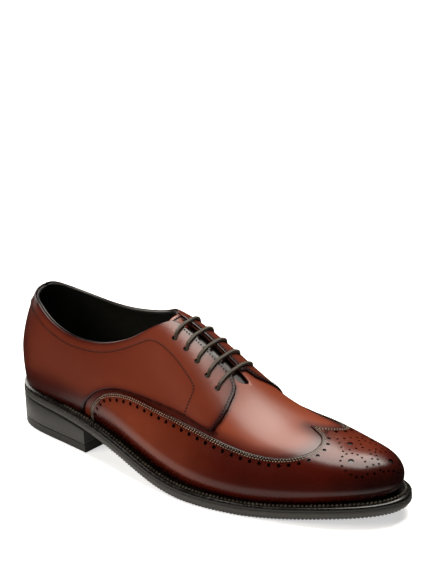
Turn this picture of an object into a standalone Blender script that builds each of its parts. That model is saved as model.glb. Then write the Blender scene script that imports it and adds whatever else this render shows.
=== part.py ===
"""Wing-tip derby shoe for the right foot.

Every leather piece follows one last: a surface worked out from short tables of widths and heights. A place on
it is a station (millimetres along the widest line, from the heel end) and a level: 0 on the ridge, 1 on the
widest line and 2 on the feather edge, where the upper meets the welt. Levels are negative on the outer side.
The piece's depth is how far it lies outside (+) or inside (-) the finished surface.
"""

import bmesh
import bpy
import numpy as np

MM = 0.001

# The last, in millimetres: x from heel to toe, y towards the inner side, z up from the floor.
HEEL_X = 0.6
TOE_X = 304.8
HEEL_RADIUS = 33.0
TOE_RADIUS = 21.0
TOE_PROFILE_RADIUS = 11.0
RIDGE_FROM_X = 45.0
RIDGE_TO_X = 262.0
RIDGE_FROM_BLEND = 9.0
RIDGE_TO_BLEND = 12.0
HEEL_FAN_X = 130.0
BACK_REACH_X = 22.0
BACK_LEAN = 0.361
BACK_BEND = 0.54
TYPICAL_HALF_WIDTH = 45.0
TYPICAL_RISE = 60.0

# Station, ridge's y, half width of the outer side, half width of the inner side.
PLAN = (
    (35.0, 3.5, 31.2, 31.8),
    (75.0, 2.0, 34.6, 33.7),
    (115.0, 1.0, 41.2, 37.0),
    (160.0, 1.5, 48.5, 40.0),
    (195.0, 3.5, 51.7, 43.2),
    (225.0, 6.0, 48.2, 42.6),
    (255.0, 9.0, 40.7, 36.8),
    (280.0, 12.0, 30.8, 28.3),
)
RIDGE_Y_AT_HEEL = 4.5
RIDGE_Y_AT_TOE = 14.5

# Station, height of the ridge above the floor.
RIDGE = (
    (35.0, 99.0), (75.0, 100.0), (110.0, 105.0), (130.0, 104.0), (150.0, 97.0), (175.0, 82.0),
    (200.0, 64.3), (225.0, 53.5), (250.0, 49.0), (270.0, 45.2),
)

# Station, height of the widest line above the feather edge, tuck below it on the outer and inner side.
SIDE_WALL = (
    (0.0, 24.0, 2.2, 2.2),
    (75.0, 24.0, 3.4, 5.0),
    (115.0, 22.0, 6.0, 11.0),
    (160.0, 17.0, 5.0, 7.0),
    (195.0, 14.0, 4.0, 4.5),
    (240.0, 12.0, 4.0, 4.0),
    (302.0, 10.0, 4.0, 4.0),
)

# Station, fullness of a section across (n) and upwards (m): 2 and 2 make an ellipse.
SECTION_N = ((0.0, 2.3), (75.0, 2.25), (115.0, 2.1), (150.0, 2.0), (200.0, 2.2), (250.0, 2.55), (303.0, 2.2))
SECTION_M = (
    (0.0, 3.1), (45.0, 3.1), (75.0, 2.3), (100.0, 1.6), (125.0, 1.5), (150.0, 1.65), (200.0, 1.68),
    (250.0, 2.0), (302.0, 2.0),
)

# Station, height of the outsole's underside: arch, flat forefoot tread and toe spring. Held at the floor.
BOTTOM = (
    (0.0, 21.0), (40.0, 20.0), (75.0, 17.0), (110.0, 11.0), (150.0, 2.5), (183.0, -0.3), (212.0, -0.3),
    (245.0, 1.8), (275.0, 5.6), (308.0, 8.6),
)

# Station, how far the sole's edge stands outside the widest line.
SOLE_MARGIN = (
    (0.0, -0.6), (20.0, 0.3), (45.0, 1.3), (80.0, 1.8), (120.0, 1.8), (160.0, 3.6), (200.0, 3.1), (250.0, 2.8),
    (304.0, 5.2),
)

# Layers, in millimetres.
GAP = 0.3
OUTSOLE_THICK = 5.6
OUTSOLE_LIP = 1.8
OUTSOLE_LIP_INSET = 0.9
WELT_THICK = 2.8
WELT_INSET = 0.5
SOLE_STACK = OUTSOLE_THICK + GAP + WELT_THICK + GAP
INSOLE_ABOVE_FEATHER = 1.2
HEEL_BREAST_X = 78.5
HEEL_TOP_PIECE = 5.8
HEEL_INSETS = (0.3, 0.9, 1.0, 1.3)

# Depths of the leather pieces, from the outside in.
OVERLAY_OUT = 0.0
OVERLAY_IN = -1.1
UPPER_OUT = -1.55
UPPER_IN = -3.55
WELT_IN = -3.8
INSOLE_OUT = -4.5
TONGUE_OUT = -4.3
TONGUE_IN = -6.1
LACE_RADIUS = 1.5
LACE_DEPTH = OVERLAY_OUT + GAP + LACE_RADIUS

# Station and level of the collar edge on each side, which the throat's edge takes over at the facings' top.
COLLAR = {
    -1: ((0.6, 0.375), (6.0, 0.428), (12.0, 0.467), (18.0, 0.506), (26.0, 0.559), (33.0, 0.603), (42.0, 0.648),
         (52.0, 0.675), (60.0, 0.677), (68.0, 0.66), (76.0, 0.629), (85.0, 0.583), (95.0, 0.517), (104.0, 0.451),
         (112.0, 0.387), (118.0, 0.325), (124.0, 0.242), (130.0, 0.147), (136.0, 0.02), (146.0, -0.2)),
    1: ((0.6, 0.375), (6.0, 0.49), (12.0, 0.567), (18.0, 0.613), (26.0, 0.65), (33.0, 0.667), (42.0, 0.673),
        (52.0, 0.656), (60.0, 0.626), (68.0, 0.584), (76.0, 0.532), (85.0, 0.471), (95.0, 0.402), (104.0, 0.34),
        (112.0, 0.277), (118.0, 0.211), (124.0, 0.128), (130.0, 0.02), (136.0, -0.1), (146.0, -0.3)),
}
FACING_CORNER = 0.03
THROAT_TOP_X = 139.0
THROAT_FRONT_X = 191.0
THROAT_HALF_GAPS = (4.5, 7.5)
THROAT_ROUND = 7.0
OVERLAY_EDGE_STEP = 0.02

# Station and level of the quarters' lower edge, and level and station of the facings' front edge.
QUARTER_LOW = (
    (74.0, 2.0), (81.0, 1.5), (91.0, 0.99), (100.0, 0.873), (109.6, 0.79), (119.3, 0.747), (142.5, 0.69),
    (169.4, 0.627), (195.0, 0.583),
)
FACING_FRONT = ((0.1, 184.0), (0.14, 189.5), (0.207, 192.3), (0.353, 195.0), (0.47, 195.0), (0.583, 193.0))
QUARTER_FRONT_X = 195.0
FACING_SHEAR_FROM_X = 150.0
BACK_SEAM_ANGLE = 0.006

# Rows of the leather grid: steps below the widest line, steps above it, and the heel's closer spacing there.
ROWS_BELOW = 3
ROWS_ABOVE = 8
HEEL_ROW_POWER = 1.7
HEEL_ROWS_X = (80.0, 130.0)

# Station and level of the wing's edge, from the tail's end to the notch, and the peak of the W between them.
NOTCH_ROW = 6
NOTCH = (264.0, 1 - NOTCH_ROW / ROWS_ABOVE)
WING_EDGE = (
    (82.5, 2.0), (84.0, 1.85), (89.5, 1.44), (98.8, 0.98), (108.3, 0.853), (130.5, 0.765), (156.0, 0.735),
    (188.0, 0.687), (212.7, 0.65), (238.0, 0.625), (251.0, 0.565), (257.5, 0.49), (262.0, 0.39), NOTCH,
)
WING_PEAK_X = 241.0

# Station of each eyelet on the outer and inner facing, and its level.
EYELETS = (
    (143.0, 140.5, 0.230), (153.3, 151.0, 0.236), (163.5, 161.3, 0.247), (173.5, 170.8, 0.267),
    (182.7, 180.0, 0.283),
)
TONGUE_X = (131.0, 206.0)
TONGUE_LEVEL = 0.33

WELD = 0.3
SHARP_ANGLE = 40.0

# Columns of the leather grid: even round the last, and at the corners of its edges.
SIDE_COLUMNS = 32
CORNER_STATIONS = (
    74.0, 78.0, 82.5, 87.0, 91.5, 97.0, 102.0, 137.5, 140.5, 143.5, 184.0, 187.5, 190.0, 191.0, 241.0, 251.0, 257.5,
    262.0, 264.0,
)
CLOSEST_COLUMNS = 0.8


def cubic(xs, ys):
    """Natural cubic curve through the points, level past both ends."""
    xs = np.asarray(xs, float)
    ys = np.asarray(ys, float)
    count = len(xs)
    step = np.diff(xs)
    system = np.eye(count)
    right = np.zeros(count)
    for i in range(1, count - 1):
        system[i, i - 1:i + 2] = step[i - 1], 2 * (step[i - 1] + step[i]), step[i]
        right[i] = 6 * ((ys[i + 1] - ys[i]) / step[i] - (ys[i] - ys[i - 1]) / step[i - 1])
    bend = np.linalg.solve(system, right)

    def curve(x):
        x = np.clip(np.asarray(x, float), xs[0], xs[-1])
        i = np.clip(np.searchsorted(xs, x) - 1, 0, count - 2)
        after = xs[i + 1] - x
        before = x - xs[i]
        h = step[i]
        bent = (bend[i] * after**3 + bend[i + 1] * before**3) / (6 * h)
        return bent + (ys[i] / h - bend[i] * h / 6) * after + (ys[i + 1] / h - bend[i + 1] * h / 6) * before

    return curve


def column(table, index):
    return np.array([row[index] for row in table], float)


def table_curve(table, index=1):
    return cubic(column(table, 0), column(table, index))


SPAN = TOE_X - HEEL_X
BOTTOM_CURVE = table_curve(BOTTOM)
BULGE_RISE = table_curve(SIDE_WALL, 1)
TUCK = {-1: table_curve(SIDE_WALL, 2), 1: table_curve(SIDE_WALL, 3)}
FULL_N = table_curve(SECTION_N)
FULL_M = table_curve(SECTION_M)
MARGIN = table_curve(SOLE_MARGIN)
RIDGE_Y = cubic(
    np.r_[HEEL_X, column(PLAN, 0), TOE_X],
    np.r_[RIDGE_Y_AT_HEEL, column(PLAN, 1), RIDGE_Y_AT_TOE],
)


def bottom(x):
    return np.maximum(BOTTOM_CURVE(x), 0.0)


def feather(x):
    return bottom(x) + SOLE_STACK


def bulge(x):
    return feather(x) + BULGE_RISE(x)


def width_shape(index):
    """Half width divided by a round-ended shape, so both ends keep their radius."""
    share = (column(PLAN, 0) - HEEL_X) / SPAN
    inner = column(PLAN, index) / np.sqrt(share * (1 - share))
    ends = np.sqrt(2 * SPAN * np.array([HEEL_RADIUS, TOE_RADIUS]))
    return cubic(np.r_[0, share, 1], np.r_[ends[0], inner, ends[1]])


WIDTH_SHAPE = {-1: width_shape(2), 1: width_shape(3)}
RIDGE_SHARE = (column(RIDGE, 0) - HEEL_X) / SPAN
RIDGE_SHAPE = cubic(
    np.r_[RIDGE_SHARE, 1],
    np.r_[(column(RIDGE, 1) - bulge(column(RIDGE, 0))) / np.sqrt(1 - RIDGE_SHARE),
          np.sqrt(2 * SPAN * TOE_PROFILE_RADIUS)],
)


def share_of(x, depth):
    return np.clip((x - HEEL_X + depth) / (SPAN + 2 * depth), 0, 1)


def half_width(x, side, depth=0.0):
    share = share_of(x, depth)
    shape = np.where(side < 0, WIDTH_SHAPE[-1](share), WIDTH_SHAPE[1](share))
    return np.sqrt(share * (1 - share)) * shape * (1 + depth / TYPICAL_HALF_WIDTH)


def ridge_rise(x, depth=0.0):
    share = share_of(x, depth)
    return np.sqrt(1 - share) * RIDGE_SHAPE(share) * (1 + depth / TYPICAL_RISE)


def ridge_foot(x):
    """Where the section through a station ends on the ridge: the sections fan round the heel and the toe."""
    x = RIDGE_TO_X - RIDGE_TO_BLEND * np.log1p(np.exp((RIDGE_TO_X - x) / RIDGE_TO_BLEND))
    return RIDGE_FROM_X + RIDGE_FROM_BLEND * np.log1p(np.exp((x - RIDGE_FROM_X) / RIDGE_FROM_BLEND))


def on_last(station, level, depth=0.0):
    """Points of the last's surface, in millimetres."""
    station, level = np.broadcast_arrays(np.asarray(station, float), np.asarray(level, float))
    side = np.where(level < 0, -1, 1)
    height = np.abs(level)
    wide_x = HEEL_X - depth + (station - HEEL_X) / SPAN * (SPAN + 2 * depth)
    wide_y = RIDGE_Y(wide_x) + side * half_width(wide_x, side, depth)
    top_x = ridge_foot(wide_x)
    along = np.stack([wide_x - top_x, wide_y - RIDGE_Y(top_x)], -1)
    reach = np.sin(np.minimum(height, 1) * np.pi / 2)
    back = np.exp(-(((station - HEEL_X) / BACK_REACH_X) ** 2))
    lean = 1 - BACK_LEAN**back * (1 - reach) ** (1 - BACK_BEND * back)
    x = top_x + along[..., 0] * lean
    y = RIDGE_Y(top_x) + along[..., 1] * lean
    at_heel = wide_x < HEEL_FAN_X
    across = np.abs(y - RIDGE_Y(x)) / np.maximum(half_width(x, side, depth), 1e-6)
    across = np.clip(np.where(at_heel, reach, across), 0, 1)
    section_x = np.where(at_heel, top_x, x)
    lift = np.maximum(1 - across**FULL_N(section_x), 0) ** (1 / FULL_M(section_x))
    z = bulge(np.where(at_heel, wide_x, x)) + ridge_rise(section_x, depth) * lift
    drop = np.clip(height - 1, 0, 1)
    tuck = np.where(side < 0, TUCK[-1](wide_x), TUCK[1](wide_x)) * drop**2
    inward = tuck / np.maximum(np.hypot(along[..., 0], along[..., 1]), 1e-6)
    below = height > 1
    x = np.where(below, wide_x - along[..., 0] * inward, x)
    y = np.where(below, wide_y - along[..., 1] * inward, y)
    z = np.where(below, bulge(wide_x) - BULGE_RISE(wide_x) * drop, z)
    return np.stack([x, y, z], -1)


def station_of(angle):
    """Even angles give stations that close up round both ends."""
    return HEEL_X + SPAN * (1 - np.cos(angle)) / 2


def angle_of(station):
    return np.arccos(np.clip(1 - 2 * (np.asarray(station) - HEEL_X) / SPAN, -1, 1))


def wide_line(angle, side):
    x = station_of(angle)
    return np.stack([x, RIDGE_Y(x) + side * half_width(x, side)], -1)


def sole_edge(angle, side, inset=0.0):
    """Outline of the sole seen from above: the widest line moved out along its normal."""
    tiny = 1e-3
    before = wide_line(np.clip(angle - tiny, 1e-6, np.pi - 1e-6), side)
    after = wide_line(np.clip(angle + tiny, 1e-6, np.pi - 1e-6), side)
    run = after - before
    run /= np.linalg.norm(run, axis=-1, keepdims=True)
    side = np.asarray(side)[..., None]
    normal = np.concatenate([-side * run[..., 1:], side * run[..., :1]], -1)
    return wide_line(angle, side[..., 0]) + normal * (MARGIN(station_of(angle)) - inset)[..., None]


def throat_level(x, side):
    share = (x - THROAT_TOP_X) / (THROAT_FRONT_X - THROAT_TOP_X)
    half_gap = np.interp(share, (0, 1), THROAT_HALF_GAPS)
    closing = np.clip((x - THROAT_FRONT_X + THROAT_ROUND) / THROAT_ROUND, 0, 1)
    half_gap = half_gap * np.sqrt(1 - closing**2)
    return np.arcsin(np.clip(half_gap / np.maximum(half_width(x, side), 10.0), 0, 1)) * 2 / np.pi


COLLAR_LEVEL = {side: table_curve(table) for side, table in COLLAR.items()}


def top_level(x, side):
    """The upper's free edge: the collar, then the throat, with a rounded corner between them."""
    collar = COLLAR_LEVEL[side](x)
    throat = throat_level(x, side)
    rounded = (collar + throat + np.hypot(collar - throat, FACING_CORNER)) / 2
    blend = np.clip((x - THROAT_TOP_X) / (2 * THROAT_ROUND), 0, 1)
    return np.where(x >= THROAT_FRONT_X, 0.0, rounded * (1 - blend) + throat * blend)


def side_stations():
    """Stations of one side's columns: the corners, and the even ones that keep clear of them."""
    corners = np.array(CORNER_STATIONS)
    even = station_of(np.linspace(0, np.pi, SIDE_COLUMNS))
    clear = np.abs(even[:, None] - corners).min(1) > CLOSEST_COLUMNS
    return np.sort(np.r_[even[clear], corners])


# Loops run from the toe along the outer side to the heel, and back along the inner side.
SIDE_X = side_stations()
SIDE_ANGLES = angle_of(SIDE_X)
LOOP_ANGLES = np.r_[SIDE_ANGLES[::-1], SIDE_ANGLES[1:-1]]
LOOP_SIDES = np.r_[-np.ones(len(SIDE_ANGLES), int), np.ones(len(SIDE_ANGLES) - 2, int)]
LOOP_X = station_of(LOOP_ANGLES)
SOLE_OUTLINE = sole_edge(LOOP_ANGLES, LOOP_SIDES)
MIDDLE = (SOLE_OUTLINE.min(0) + SOLE_OUTLINE.max(0)) / 2


def row_levels(stations, side):
    """Levels of the leather grid's rows at each station, from the feather edge up to the upper's free edge."""
    top = top_level(stations, side)
    below = np.linspace(2, 1, ROWS_BELOW, endpoint=False)[:, None] + 0 * top
    power = np.interp(stations, HEEL_ROWS_X, (HEEL_ROW_POWER, 1.0))
    above = 1 + (top - 1) * np.linspace(0, 1, ROWS_ABOVE + 1)[:, None] ** power
    return np.concatenate([below, above])


def material(name, colour, roughness):
    made = bpy.data.materials.new(name)
    made.use_nodes = True
    shader = made.node_tree.nodes["Principled BSDF"]
    shader.inputs["Base Color"].default_value = (*colour, 1.0)
    shader.inputs["Roughness"].default_value = roughness
    return made


def finish_piece(name, form, skin):
    """Turns a closed form in millimetres into an outward-facing object centred over the sole."""
    bmesh.ops.recalc_face_normals(form, faces=form.faces)
    bmesh.ops.triangulate(form, faces=form.faces)
    for vert in form.verts:
        vert.co = ((vert.co.x - MIDDLE[0]) * MM, (vert.co.y - MIDDLE[1]) * MM, vert.co.z * MM)
    mesh = bpy.data.meshes.new(name)
    form.to_mesh(mesh)
    form.free()
    mesh.shade_smooth()
    mesh.set_sharp_from_angle(angle=np.radians(SHARP_ANGLE))
    mesh.materials.append(skin)
    bpy.context.scene.collection.objects.link(bpy.data.objects.new(name, mesh))


def add_points(form, points):
    return [form.verts.new(point) for point in np.asarray(points).reshape(-1, 3)]


def grid_faces(rows, columns, start, wrap):
    """Quads of a grid of points; wrap joins the last column to the first."""
    faces = []
    for row in range(rows - 1):
        for col in range(columns if wrap else columns - 1):
            right = (col + 1) % columns
            low = start + row * columns
            high = low + columns
            faces.append((low + col, low + right, high + right, high + col))
    return faces


def add_leather(name, patches, depths, skin):
    """A wall of leather: patches of stations and levels, joined, between an outer and an inner depth."""
    form = bmesh.new()
    station_layer = form.verts.layers.float.new("station")
    level_layer = form.verts.layers.float.new("level")
    for stations, levels in patches:
        stations, levels = np.broadcast_arrays(stations, levels)
        verts = add_points(form, on_last(stations, levels, depths[0]))
        for vert, station, level in zip(verts, stations.flat, levels.flat):
            vert[station_layer] = station
            vert[level_layer] = level
        for face in grid_faces(*stations.shape, 0, False):
            form.faces.new([verts[i] for i in face])
    bmesh.ops.remove_doubles(form, verts=form.verts, dist=WELD)
    outer = list(form.verts)
    faces = list(form.faces)
    edges = [edge.verts[:] for edge in form.edges if edge.is_boundary]
    places = np.array([(vert[station_layer], vert[level_layer]) for vert in outer])
    inner = dict(zip(outer, add_points(form, on_last(places[:, 0], places[:, 1], depths[1]))))
    for face in faces:
        form.faces.new([inner[vert] for vert in reversed(face.verts)])
    for start, end in edges:
        form.faces.new((start, end, inner[end], inner[start]))
    finish_piece(name, form, skin)


def add_ring(name, outside, inside, skin):
    """A closed ring between two walls, each a low and a high loop."""
    form = bmesh.new()
    loops = np.stack([outside[0], outside[1], inside[1], inside[0], outside[0]])
    columns = loops.shape[1]
    verts = add_points(form, loops[:4])
    for face in grid_faces(5, columns, 0, True):
        form.faces.new([verts[i % (4 * columns)] for i in face])
    finish_piece(name, form, skin)


def add_slab(name, loops, skin, pointed):
    """A solid through stacked outlines, capped by strips across it. A pointed outline starts at its tip."""
    loops = np.asarray(loops)
    rows, columns = loops.shape[:2]
    faces = grid_faces(rows, columns, 0, True)
    partner = [(columns - j) % columns if pointed else columns - 1 - j for j in range(columns)]
    for start in (0, (rows - 1) * columns):
        for j in range(columns // 2):
            corners = [start + k for k in (j, j + 1, partner[j + 1], partner[j])]
            face = list(dict.fromkeys(corners))
            if len(face) > 2:
                faces.append(face)
    form = bmesh.new()
    verts = add_points(form, loops)
    for face in faces:
        form.faces.new([verts[i] for i in face])
    finish_piece(name, form, skin)


def raised(plan, heights):
    return np.concatenate([plan, np.broadcast_to(heights, plan.shape[:1])[:, None]], -1)


def build_outsole(skin):
    steps = ((OUTSOLE_LIP_INSET, 0.0), (OUTSOLE_LIP_INSET, OUTSOLE_LIP), (0.0, OUTSOLE_LIP), (0.0, OUTSOLE_THICK))
    loops = []
    for inset, up in steps:
        plan = sole_edge(LOOP_ANGLES, LOOP_SIDES, inset)
        loops.append(raised(plan, bottom(plan[:, 0]) + up))
    add_slab("outsole", loops, skin, pointed=True)


def build_welt(skin):
    outer = sole_edge(LOOP_ANGLES, LOOP_SIDES, WELT_INSET)
    inner = on_last(LOOP_X, LOOP_SIDES * 2.0, WELT_IN)[:, :2]
    low = OUTSOLE_THICK + GAP
    walls = []
    for plan in (outer, inner):
        floor = bottom(plan[:, 0])
        walls.append(np.stack([raised(plan, floor + low), raised(plan, floor + low + WELT_THICK)]))
    add_ring("welt", walls[0], walls[1], skin)


def heel_outline(inset):
    """From the outer end of the breast round the back to its inner end."""
    def breast_angle(side):
        angles = np.linspace(0.0, np.pi / 2, 400)
        return np.interp(HEEL_BREAST_X, sole_edge(angles, side)[:, 0], angles)

    outer = breast_angle(-1) * np.sin(np.linspace(1, 0, 16) * np.pi / 2)
    inner = breast_angle(1) * np.sin(np.linspace(0, 1, 16)[1:] * np.pi / 2)
    plan = np.concatenate([sole_edge(outer, -1, inset), sole_edge(inner, 1, inset)])
    plan[[0, -1], 0] = HEEL_BREAST_X
    return plan


def build_heel(stack_skin, lift_skin):
    top, waist, step, floor = [heel_outline(inset) for inset in HEEL_INSETS]
    stack = [raised(waist, HEEL_TOP_PIECE + GAP), raised(top, bottom(top[:, 0]) - GAP)]
    add_slab("heel_stack", stack, stack_skin, pointed=False)
    lift = [raised(floor, 0.0), raised(step, HEEL_TOP_PIECE)]
    add_slab("heel_top_piece", lift, lift_skin, pointed=False)


def build_insole(skin):
    plan = on_last(LOOP_X, LOOP_SIDES * 2.0, INSOLE_OUT)[:, :2]
    floor = bottom(plan[:, 0])
    low = OUTSOLE_THICK + GAP
    loops = [raised(plan, floor + low), raised(plan, floor + SOLE_STACK + INSOLE_ABOVE_FEATHER)]
    add_slab("insole", loops, skin, pointed=True)


def build_upper(skin):
    patches = [(SIDE_X, row_levels(SIDE_X, side) * side) for side in (-1, 1)]
    add_leather("upper", patches, (UPPER_OUT, UPPER_IN), skin)


def quarter_patch(side):
    """One quarter, from its lower edge up to the collar and the throat, with the facing's rounded front."""
    seam = station_of(BACK_SEAM_ANGLE)
    stations = np.r_[seam, SIDE_X[(SIDE_X > seam) & (SIDE_X < QUARTER_FRONT_X)], QUARTER_FRONT_X]
    low = np.interp(stations, column(QUARTER_LOW, 0), column(QUARTER_LOW, 1))
    high = top_level(np.minimum(stations, THROAT_FRONT_X - THROAT_ROUND), side) + OVERLAY_EDGE_STEP
    levels = np.clip(row_levels(stations, side), high, low)
    front = np.interp(levels, column(FACING_FRONT, 0), column(FACING_FRONT, 1))
    shear = np.clip((stations - FACING_SHEAR_FROM_X) / (QUARTER_FRONT_X - FACING_SHEAR_FROM_X), 0, 1)
    return stations + shear * (front - QUARTER_FRONT_X), levels * side


def build_quarters(skin):
    for side, name in ((-1, "quarter_lateral"), (1, "quarter_medial")):
        add_leather(name, [quarter_patch(side)], (OVERLAY_OUT, OVERLAY_IN), skin)


def wing_patches(side):
    """One side of the wing cap: its long side, the toe, and the W's half of the peak."""
    notch_x, notch_level = NOTCH
    long_side = SIDE_X[(SIDE_X >= WING_EDGE[0][0]) & (SIDE_X <= notch_x)]
    edge = np.interp(long_side, column(WING_EDGE, 0), column(WING_EDGE, 1))
    toe = SIDE_X[SIDE_X >= notch_x]
    peak = SIDE_X[(SIDE_X >= WING_PEAK_X) & (SIDE_X <= notch_x)]
    peak_edge = np.interp(peak, (WING_PEAK_X, notch_x), (0.0, notch_level))
    return [
        (long_side, np.maximum(row_levels(long_side, side), edge) * side),
        (toe, row_levels(toe, side) * side),
        (peak, np.minimum(row_levels(peak, side), peak_edge) * side),
    ]


def build_wing(skin):
    add_leather("wing_cap", wing_patches(-1) + wing_patches(1), (OVERLAY_OUT, OVERLAY_IN), skin)


def build_tongue(skin):
    stations = np.linspace(*TONGUE_X, 10)
    levels = np.linspace(-TONGUE_LEVEL, TONGUE_LEVEL, 11)[:, None]
    add_leather("tongue", [(stations, levels)], (TONGUE_OUT, TONGUE_IN), skin)


def build_lace(skin):
    """One straight bar over the throat for each pair of eyelets."""
    for number, (outer_x, inner_x, level) in enumerate(EYELETS, 1):
        share = np.linspace(0, 1, 9)
        path = on_last(outer_x + (inner_x - outer_x) * share, level * (2 * share - 1), LACE_DEPTH)
        path = (path - np.r_[MIDDLE, 0.0]) * MM
        name = f"lace_bar_{number}"
        cord = bpy.data.curves.new(name, "CURVE")
        cord.dimensions = "3D"
        cord.bevel_depth = LACE_RADIUS * MM
        cord.bevel_resolution = 1
        cord.use_fill_caps = True
        line = cord.splines.new("POLY")
        line.points.add(len(path) - 1)
        for point, place in zip(line.points, path):
            point.co = (*place, 1.0)
        cord.materials.append(skin)
        bpy.context.scene.collection.objects.link(bpy.data.objects.new(name, cord))


def main():
    for thing in list(bpy.data.objects):
        bpy.data.objects.remove(thing, do_unlink=True)
    rubber = material("rubber", (0.02, 0.018, 0.016), 0.55)
    edge = material("welt_leather", (0.03, 0.02, 0.016), 0.45)
    stack = material("heel_leather", (0.05, 0.045, 0.042), 0.4)
    lift = material("heel_rubber", (0.02, 0.017, 0.015), 0.6)
    board = material("insole_leather", (0.02, 0.02, 0.016), 0.6)
    vamp = material("vamp_leather", (0.19, 0.045, 0.022), 0.3)
    wing = material("wing_leather", (0.17, 0.035, 0.018), 0.3)
    quarter = material("quarter_leather", (0.17, 0.038, 0.02), 0.32)
    tongue = material("tongue_leather", (0.16, 0.04, 0.022), 0.4)
    lace = material("lace_cord", (0.06, 0.045, 0.03), 0.6)
    build_outsole(rubber)
    build_welt(edge)
    build_heel(stack, lift)
    build_insole(board)
    build_upper(vamp)
    build_wing(wing)
    build_quarters(quarter)
    build_tongue(tongue)
    build_lace(lace)


main()
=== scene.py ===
"""Looks of the wing-tip derby shoe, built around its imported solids.

Every leather piece follows the last that the solids follow. A place on it is a station (millimetres
along the widest line, from the heel end) and a level: 0 on the ridge, 1 on the widest line and 2 on
the feather edge, where the upper meets the welt. Levels are negative on the outer side. Depth is how
far a place lies outside (+) or inside (-) the finished surface. Lines for stitches and holes are kept
as angles round the last and levels.
"""

import bmesh
import bpy
import numpy as np
from bpy.props import FloatProperty, FloatVectorProperty, PointerProperty
from mathutils import Matrix, Vector
from mathutils.kdtree import KDTree


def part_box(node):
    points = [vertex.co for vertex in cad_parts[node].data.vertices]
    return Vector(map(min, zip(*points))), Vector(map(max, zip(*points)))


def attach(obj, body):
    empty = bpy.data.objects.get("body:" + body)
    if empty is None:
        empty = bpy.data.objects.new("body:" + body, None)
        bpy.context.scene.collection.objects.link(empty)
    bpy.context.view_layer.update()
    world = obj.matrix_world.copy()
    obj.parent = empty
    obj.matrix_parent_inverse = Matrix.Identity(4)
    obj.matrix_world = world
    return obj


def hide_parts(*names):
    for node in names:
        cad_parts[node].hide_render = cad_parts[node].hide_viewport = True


bl_info = {
    "name": "Wing-tip derby shoe",
    "version": (1, 0, 0),
    "blender": (4, 5, 0),
    "location": "3D View > Sidebar > Derby",
    "description": "Leather panels, stitching, holes, lace, sole and studio for the packed shoe",
    "category": "Object",
}

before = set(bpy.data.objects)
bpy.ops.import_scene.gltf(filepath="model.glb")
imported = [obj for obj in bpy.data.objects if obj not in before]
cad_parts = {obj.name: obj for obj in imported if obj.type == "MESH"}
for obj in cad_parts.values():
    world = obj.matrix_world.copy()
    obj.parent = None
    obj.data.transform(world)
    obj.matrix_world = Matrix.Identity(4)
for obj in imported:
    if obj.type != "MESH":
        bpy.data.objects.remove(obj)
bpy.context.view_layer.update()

MM = 0.001
BODY = "root"
FEATHER_LEVEL = 2.0

# The last, in millimetres: x from heel to toe, y towards the inner side, z up from the floor.
HEEL_X = 0.6
TOE_X = 304.8
SPAN = TOE_X - HEEL_X
HEEL_RADIUS = 33.0
TOE_RADIUS = 21.0
TOE_PROFILE_RADIUS = 11.0
RIDGE_FROM_X = 45.0
RIDGE_TO_X = 262.0
RIDGE_FROM_BLEND = 9.0
RIDGE_TO_BLEND = 12.0
HEEL_FAN_X = 130.0
BACK_REACH_X = 22.0
BACK_LEAN = 0.361
BACK_BEND = 0.54
TYPICAL_HALF_WIDTH = 45.0
TYPICAL_RISE = 60.0

# Station, ridge's y, half width of the outer side, half width of the inner side.
PLAN = (
    (35.0, 3.5, 31.2, 31.8),
    (75.0, 2.0, 34.6, 33.7),
    (115.0, 1.0, 41.2, 37.0),
    (160.0, 1.5, 48.5, 40.0),
    (195.0, 3.5, 51.7, 43.2),
    (225.0, 6.0, 48.2, 42.6),
    (255.0, 9.0, 40.7, 36.8),
    (280.0, 12.0, 30.8, 28.3),
)
RIDGE_Y_AT_HEEL = 4.5
RIDGE_Y_AT_TOE = 14.5

# Station, height of the ridge above the floor.
RIDGE = (
    (35.0, 99.0), (75.0, 100.0), (110.0, 105.0), (130.0, 104.0), (150.0, 97.0), (175.0, 82.0),
    (200.0, 64.3), (225.0, 53.5), (250.0, 49.0), (270.0, 45.2),
)

# Station, height of the widest line above the feather edge, tuck below it on the outer and inner side.
SIDE_WALL = (
    (0.0, 24.0, 2.2, 2.2),
    (75.0, 24.0, 3.4, 5.0),
    (115.0, 22.0, 6.0, 11.0),
    (160.0, 17.0, 5.0, 7.0),
    (195.0, 14.0, 4.0, 4.5),
    (240.0, 12.0, 4.0, 4.0),
    (302.0, 10.0, 4.0, 4.0),
)

# Station, fullness of a section across (n) and upwards (m): 2 and 2 make an ellipse.
SECTION_N = (
    (0.0, 2.3), (75.0, 2.25), (115.0, 2.1), (150.0, 2.0), (200.0, 2.2), (250.0, 2.55), (303.0, 2.2),
)
SECTION_M = (
    (0.0, 3.1), (45.0, 3.1), (75.0, 2.3), (100.0, 1.6), (125.0, 1.5), (150.0, 1.65), (200.0, 1.68),
    (250.0, 2.0), (302.0, 2.0),
)

# Station, height of the outsole's underside: arch, flat forefoot tread and toe spring. Held at the floor.
BOTTOM = (
    (0.0, 21.0), (40.0, 20.0), (75.0, 17.0), (110.0, 11.0), (150.0, 2.5), (183.0, -0.3), (212.0, -0.3),
    (245.0, 1.8), (275.0, 5.6), (308.0, 8.6),
)

# Station, how far the sole's edge stands outside the widest line.
SOLE_MARGIN = (
    (0.0, -0.6), (20.0, 0.3), (45.0, 1.3), (80.0, 1.8), (120.0, 1.8), (160.0, 3.6), (200.0, 3.1),
    (250.0, 2.8), (304.0, 5.2),
)

# Layers of the bottom, in millimetres.
GAP = 0.3
OUTSOLE_THICK = 5.6
OUTSOLE_LIP = 1.8
WELT_THICK = 2.8
SOLE_STACK = OUTSOLE_THICK + GAP + WELT_THICK + GAP
TREAD_DEEP = 0.9
HEEL_BREAST_X = 78.5
HEEL_TOP_PIECE = 5.8

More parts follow.
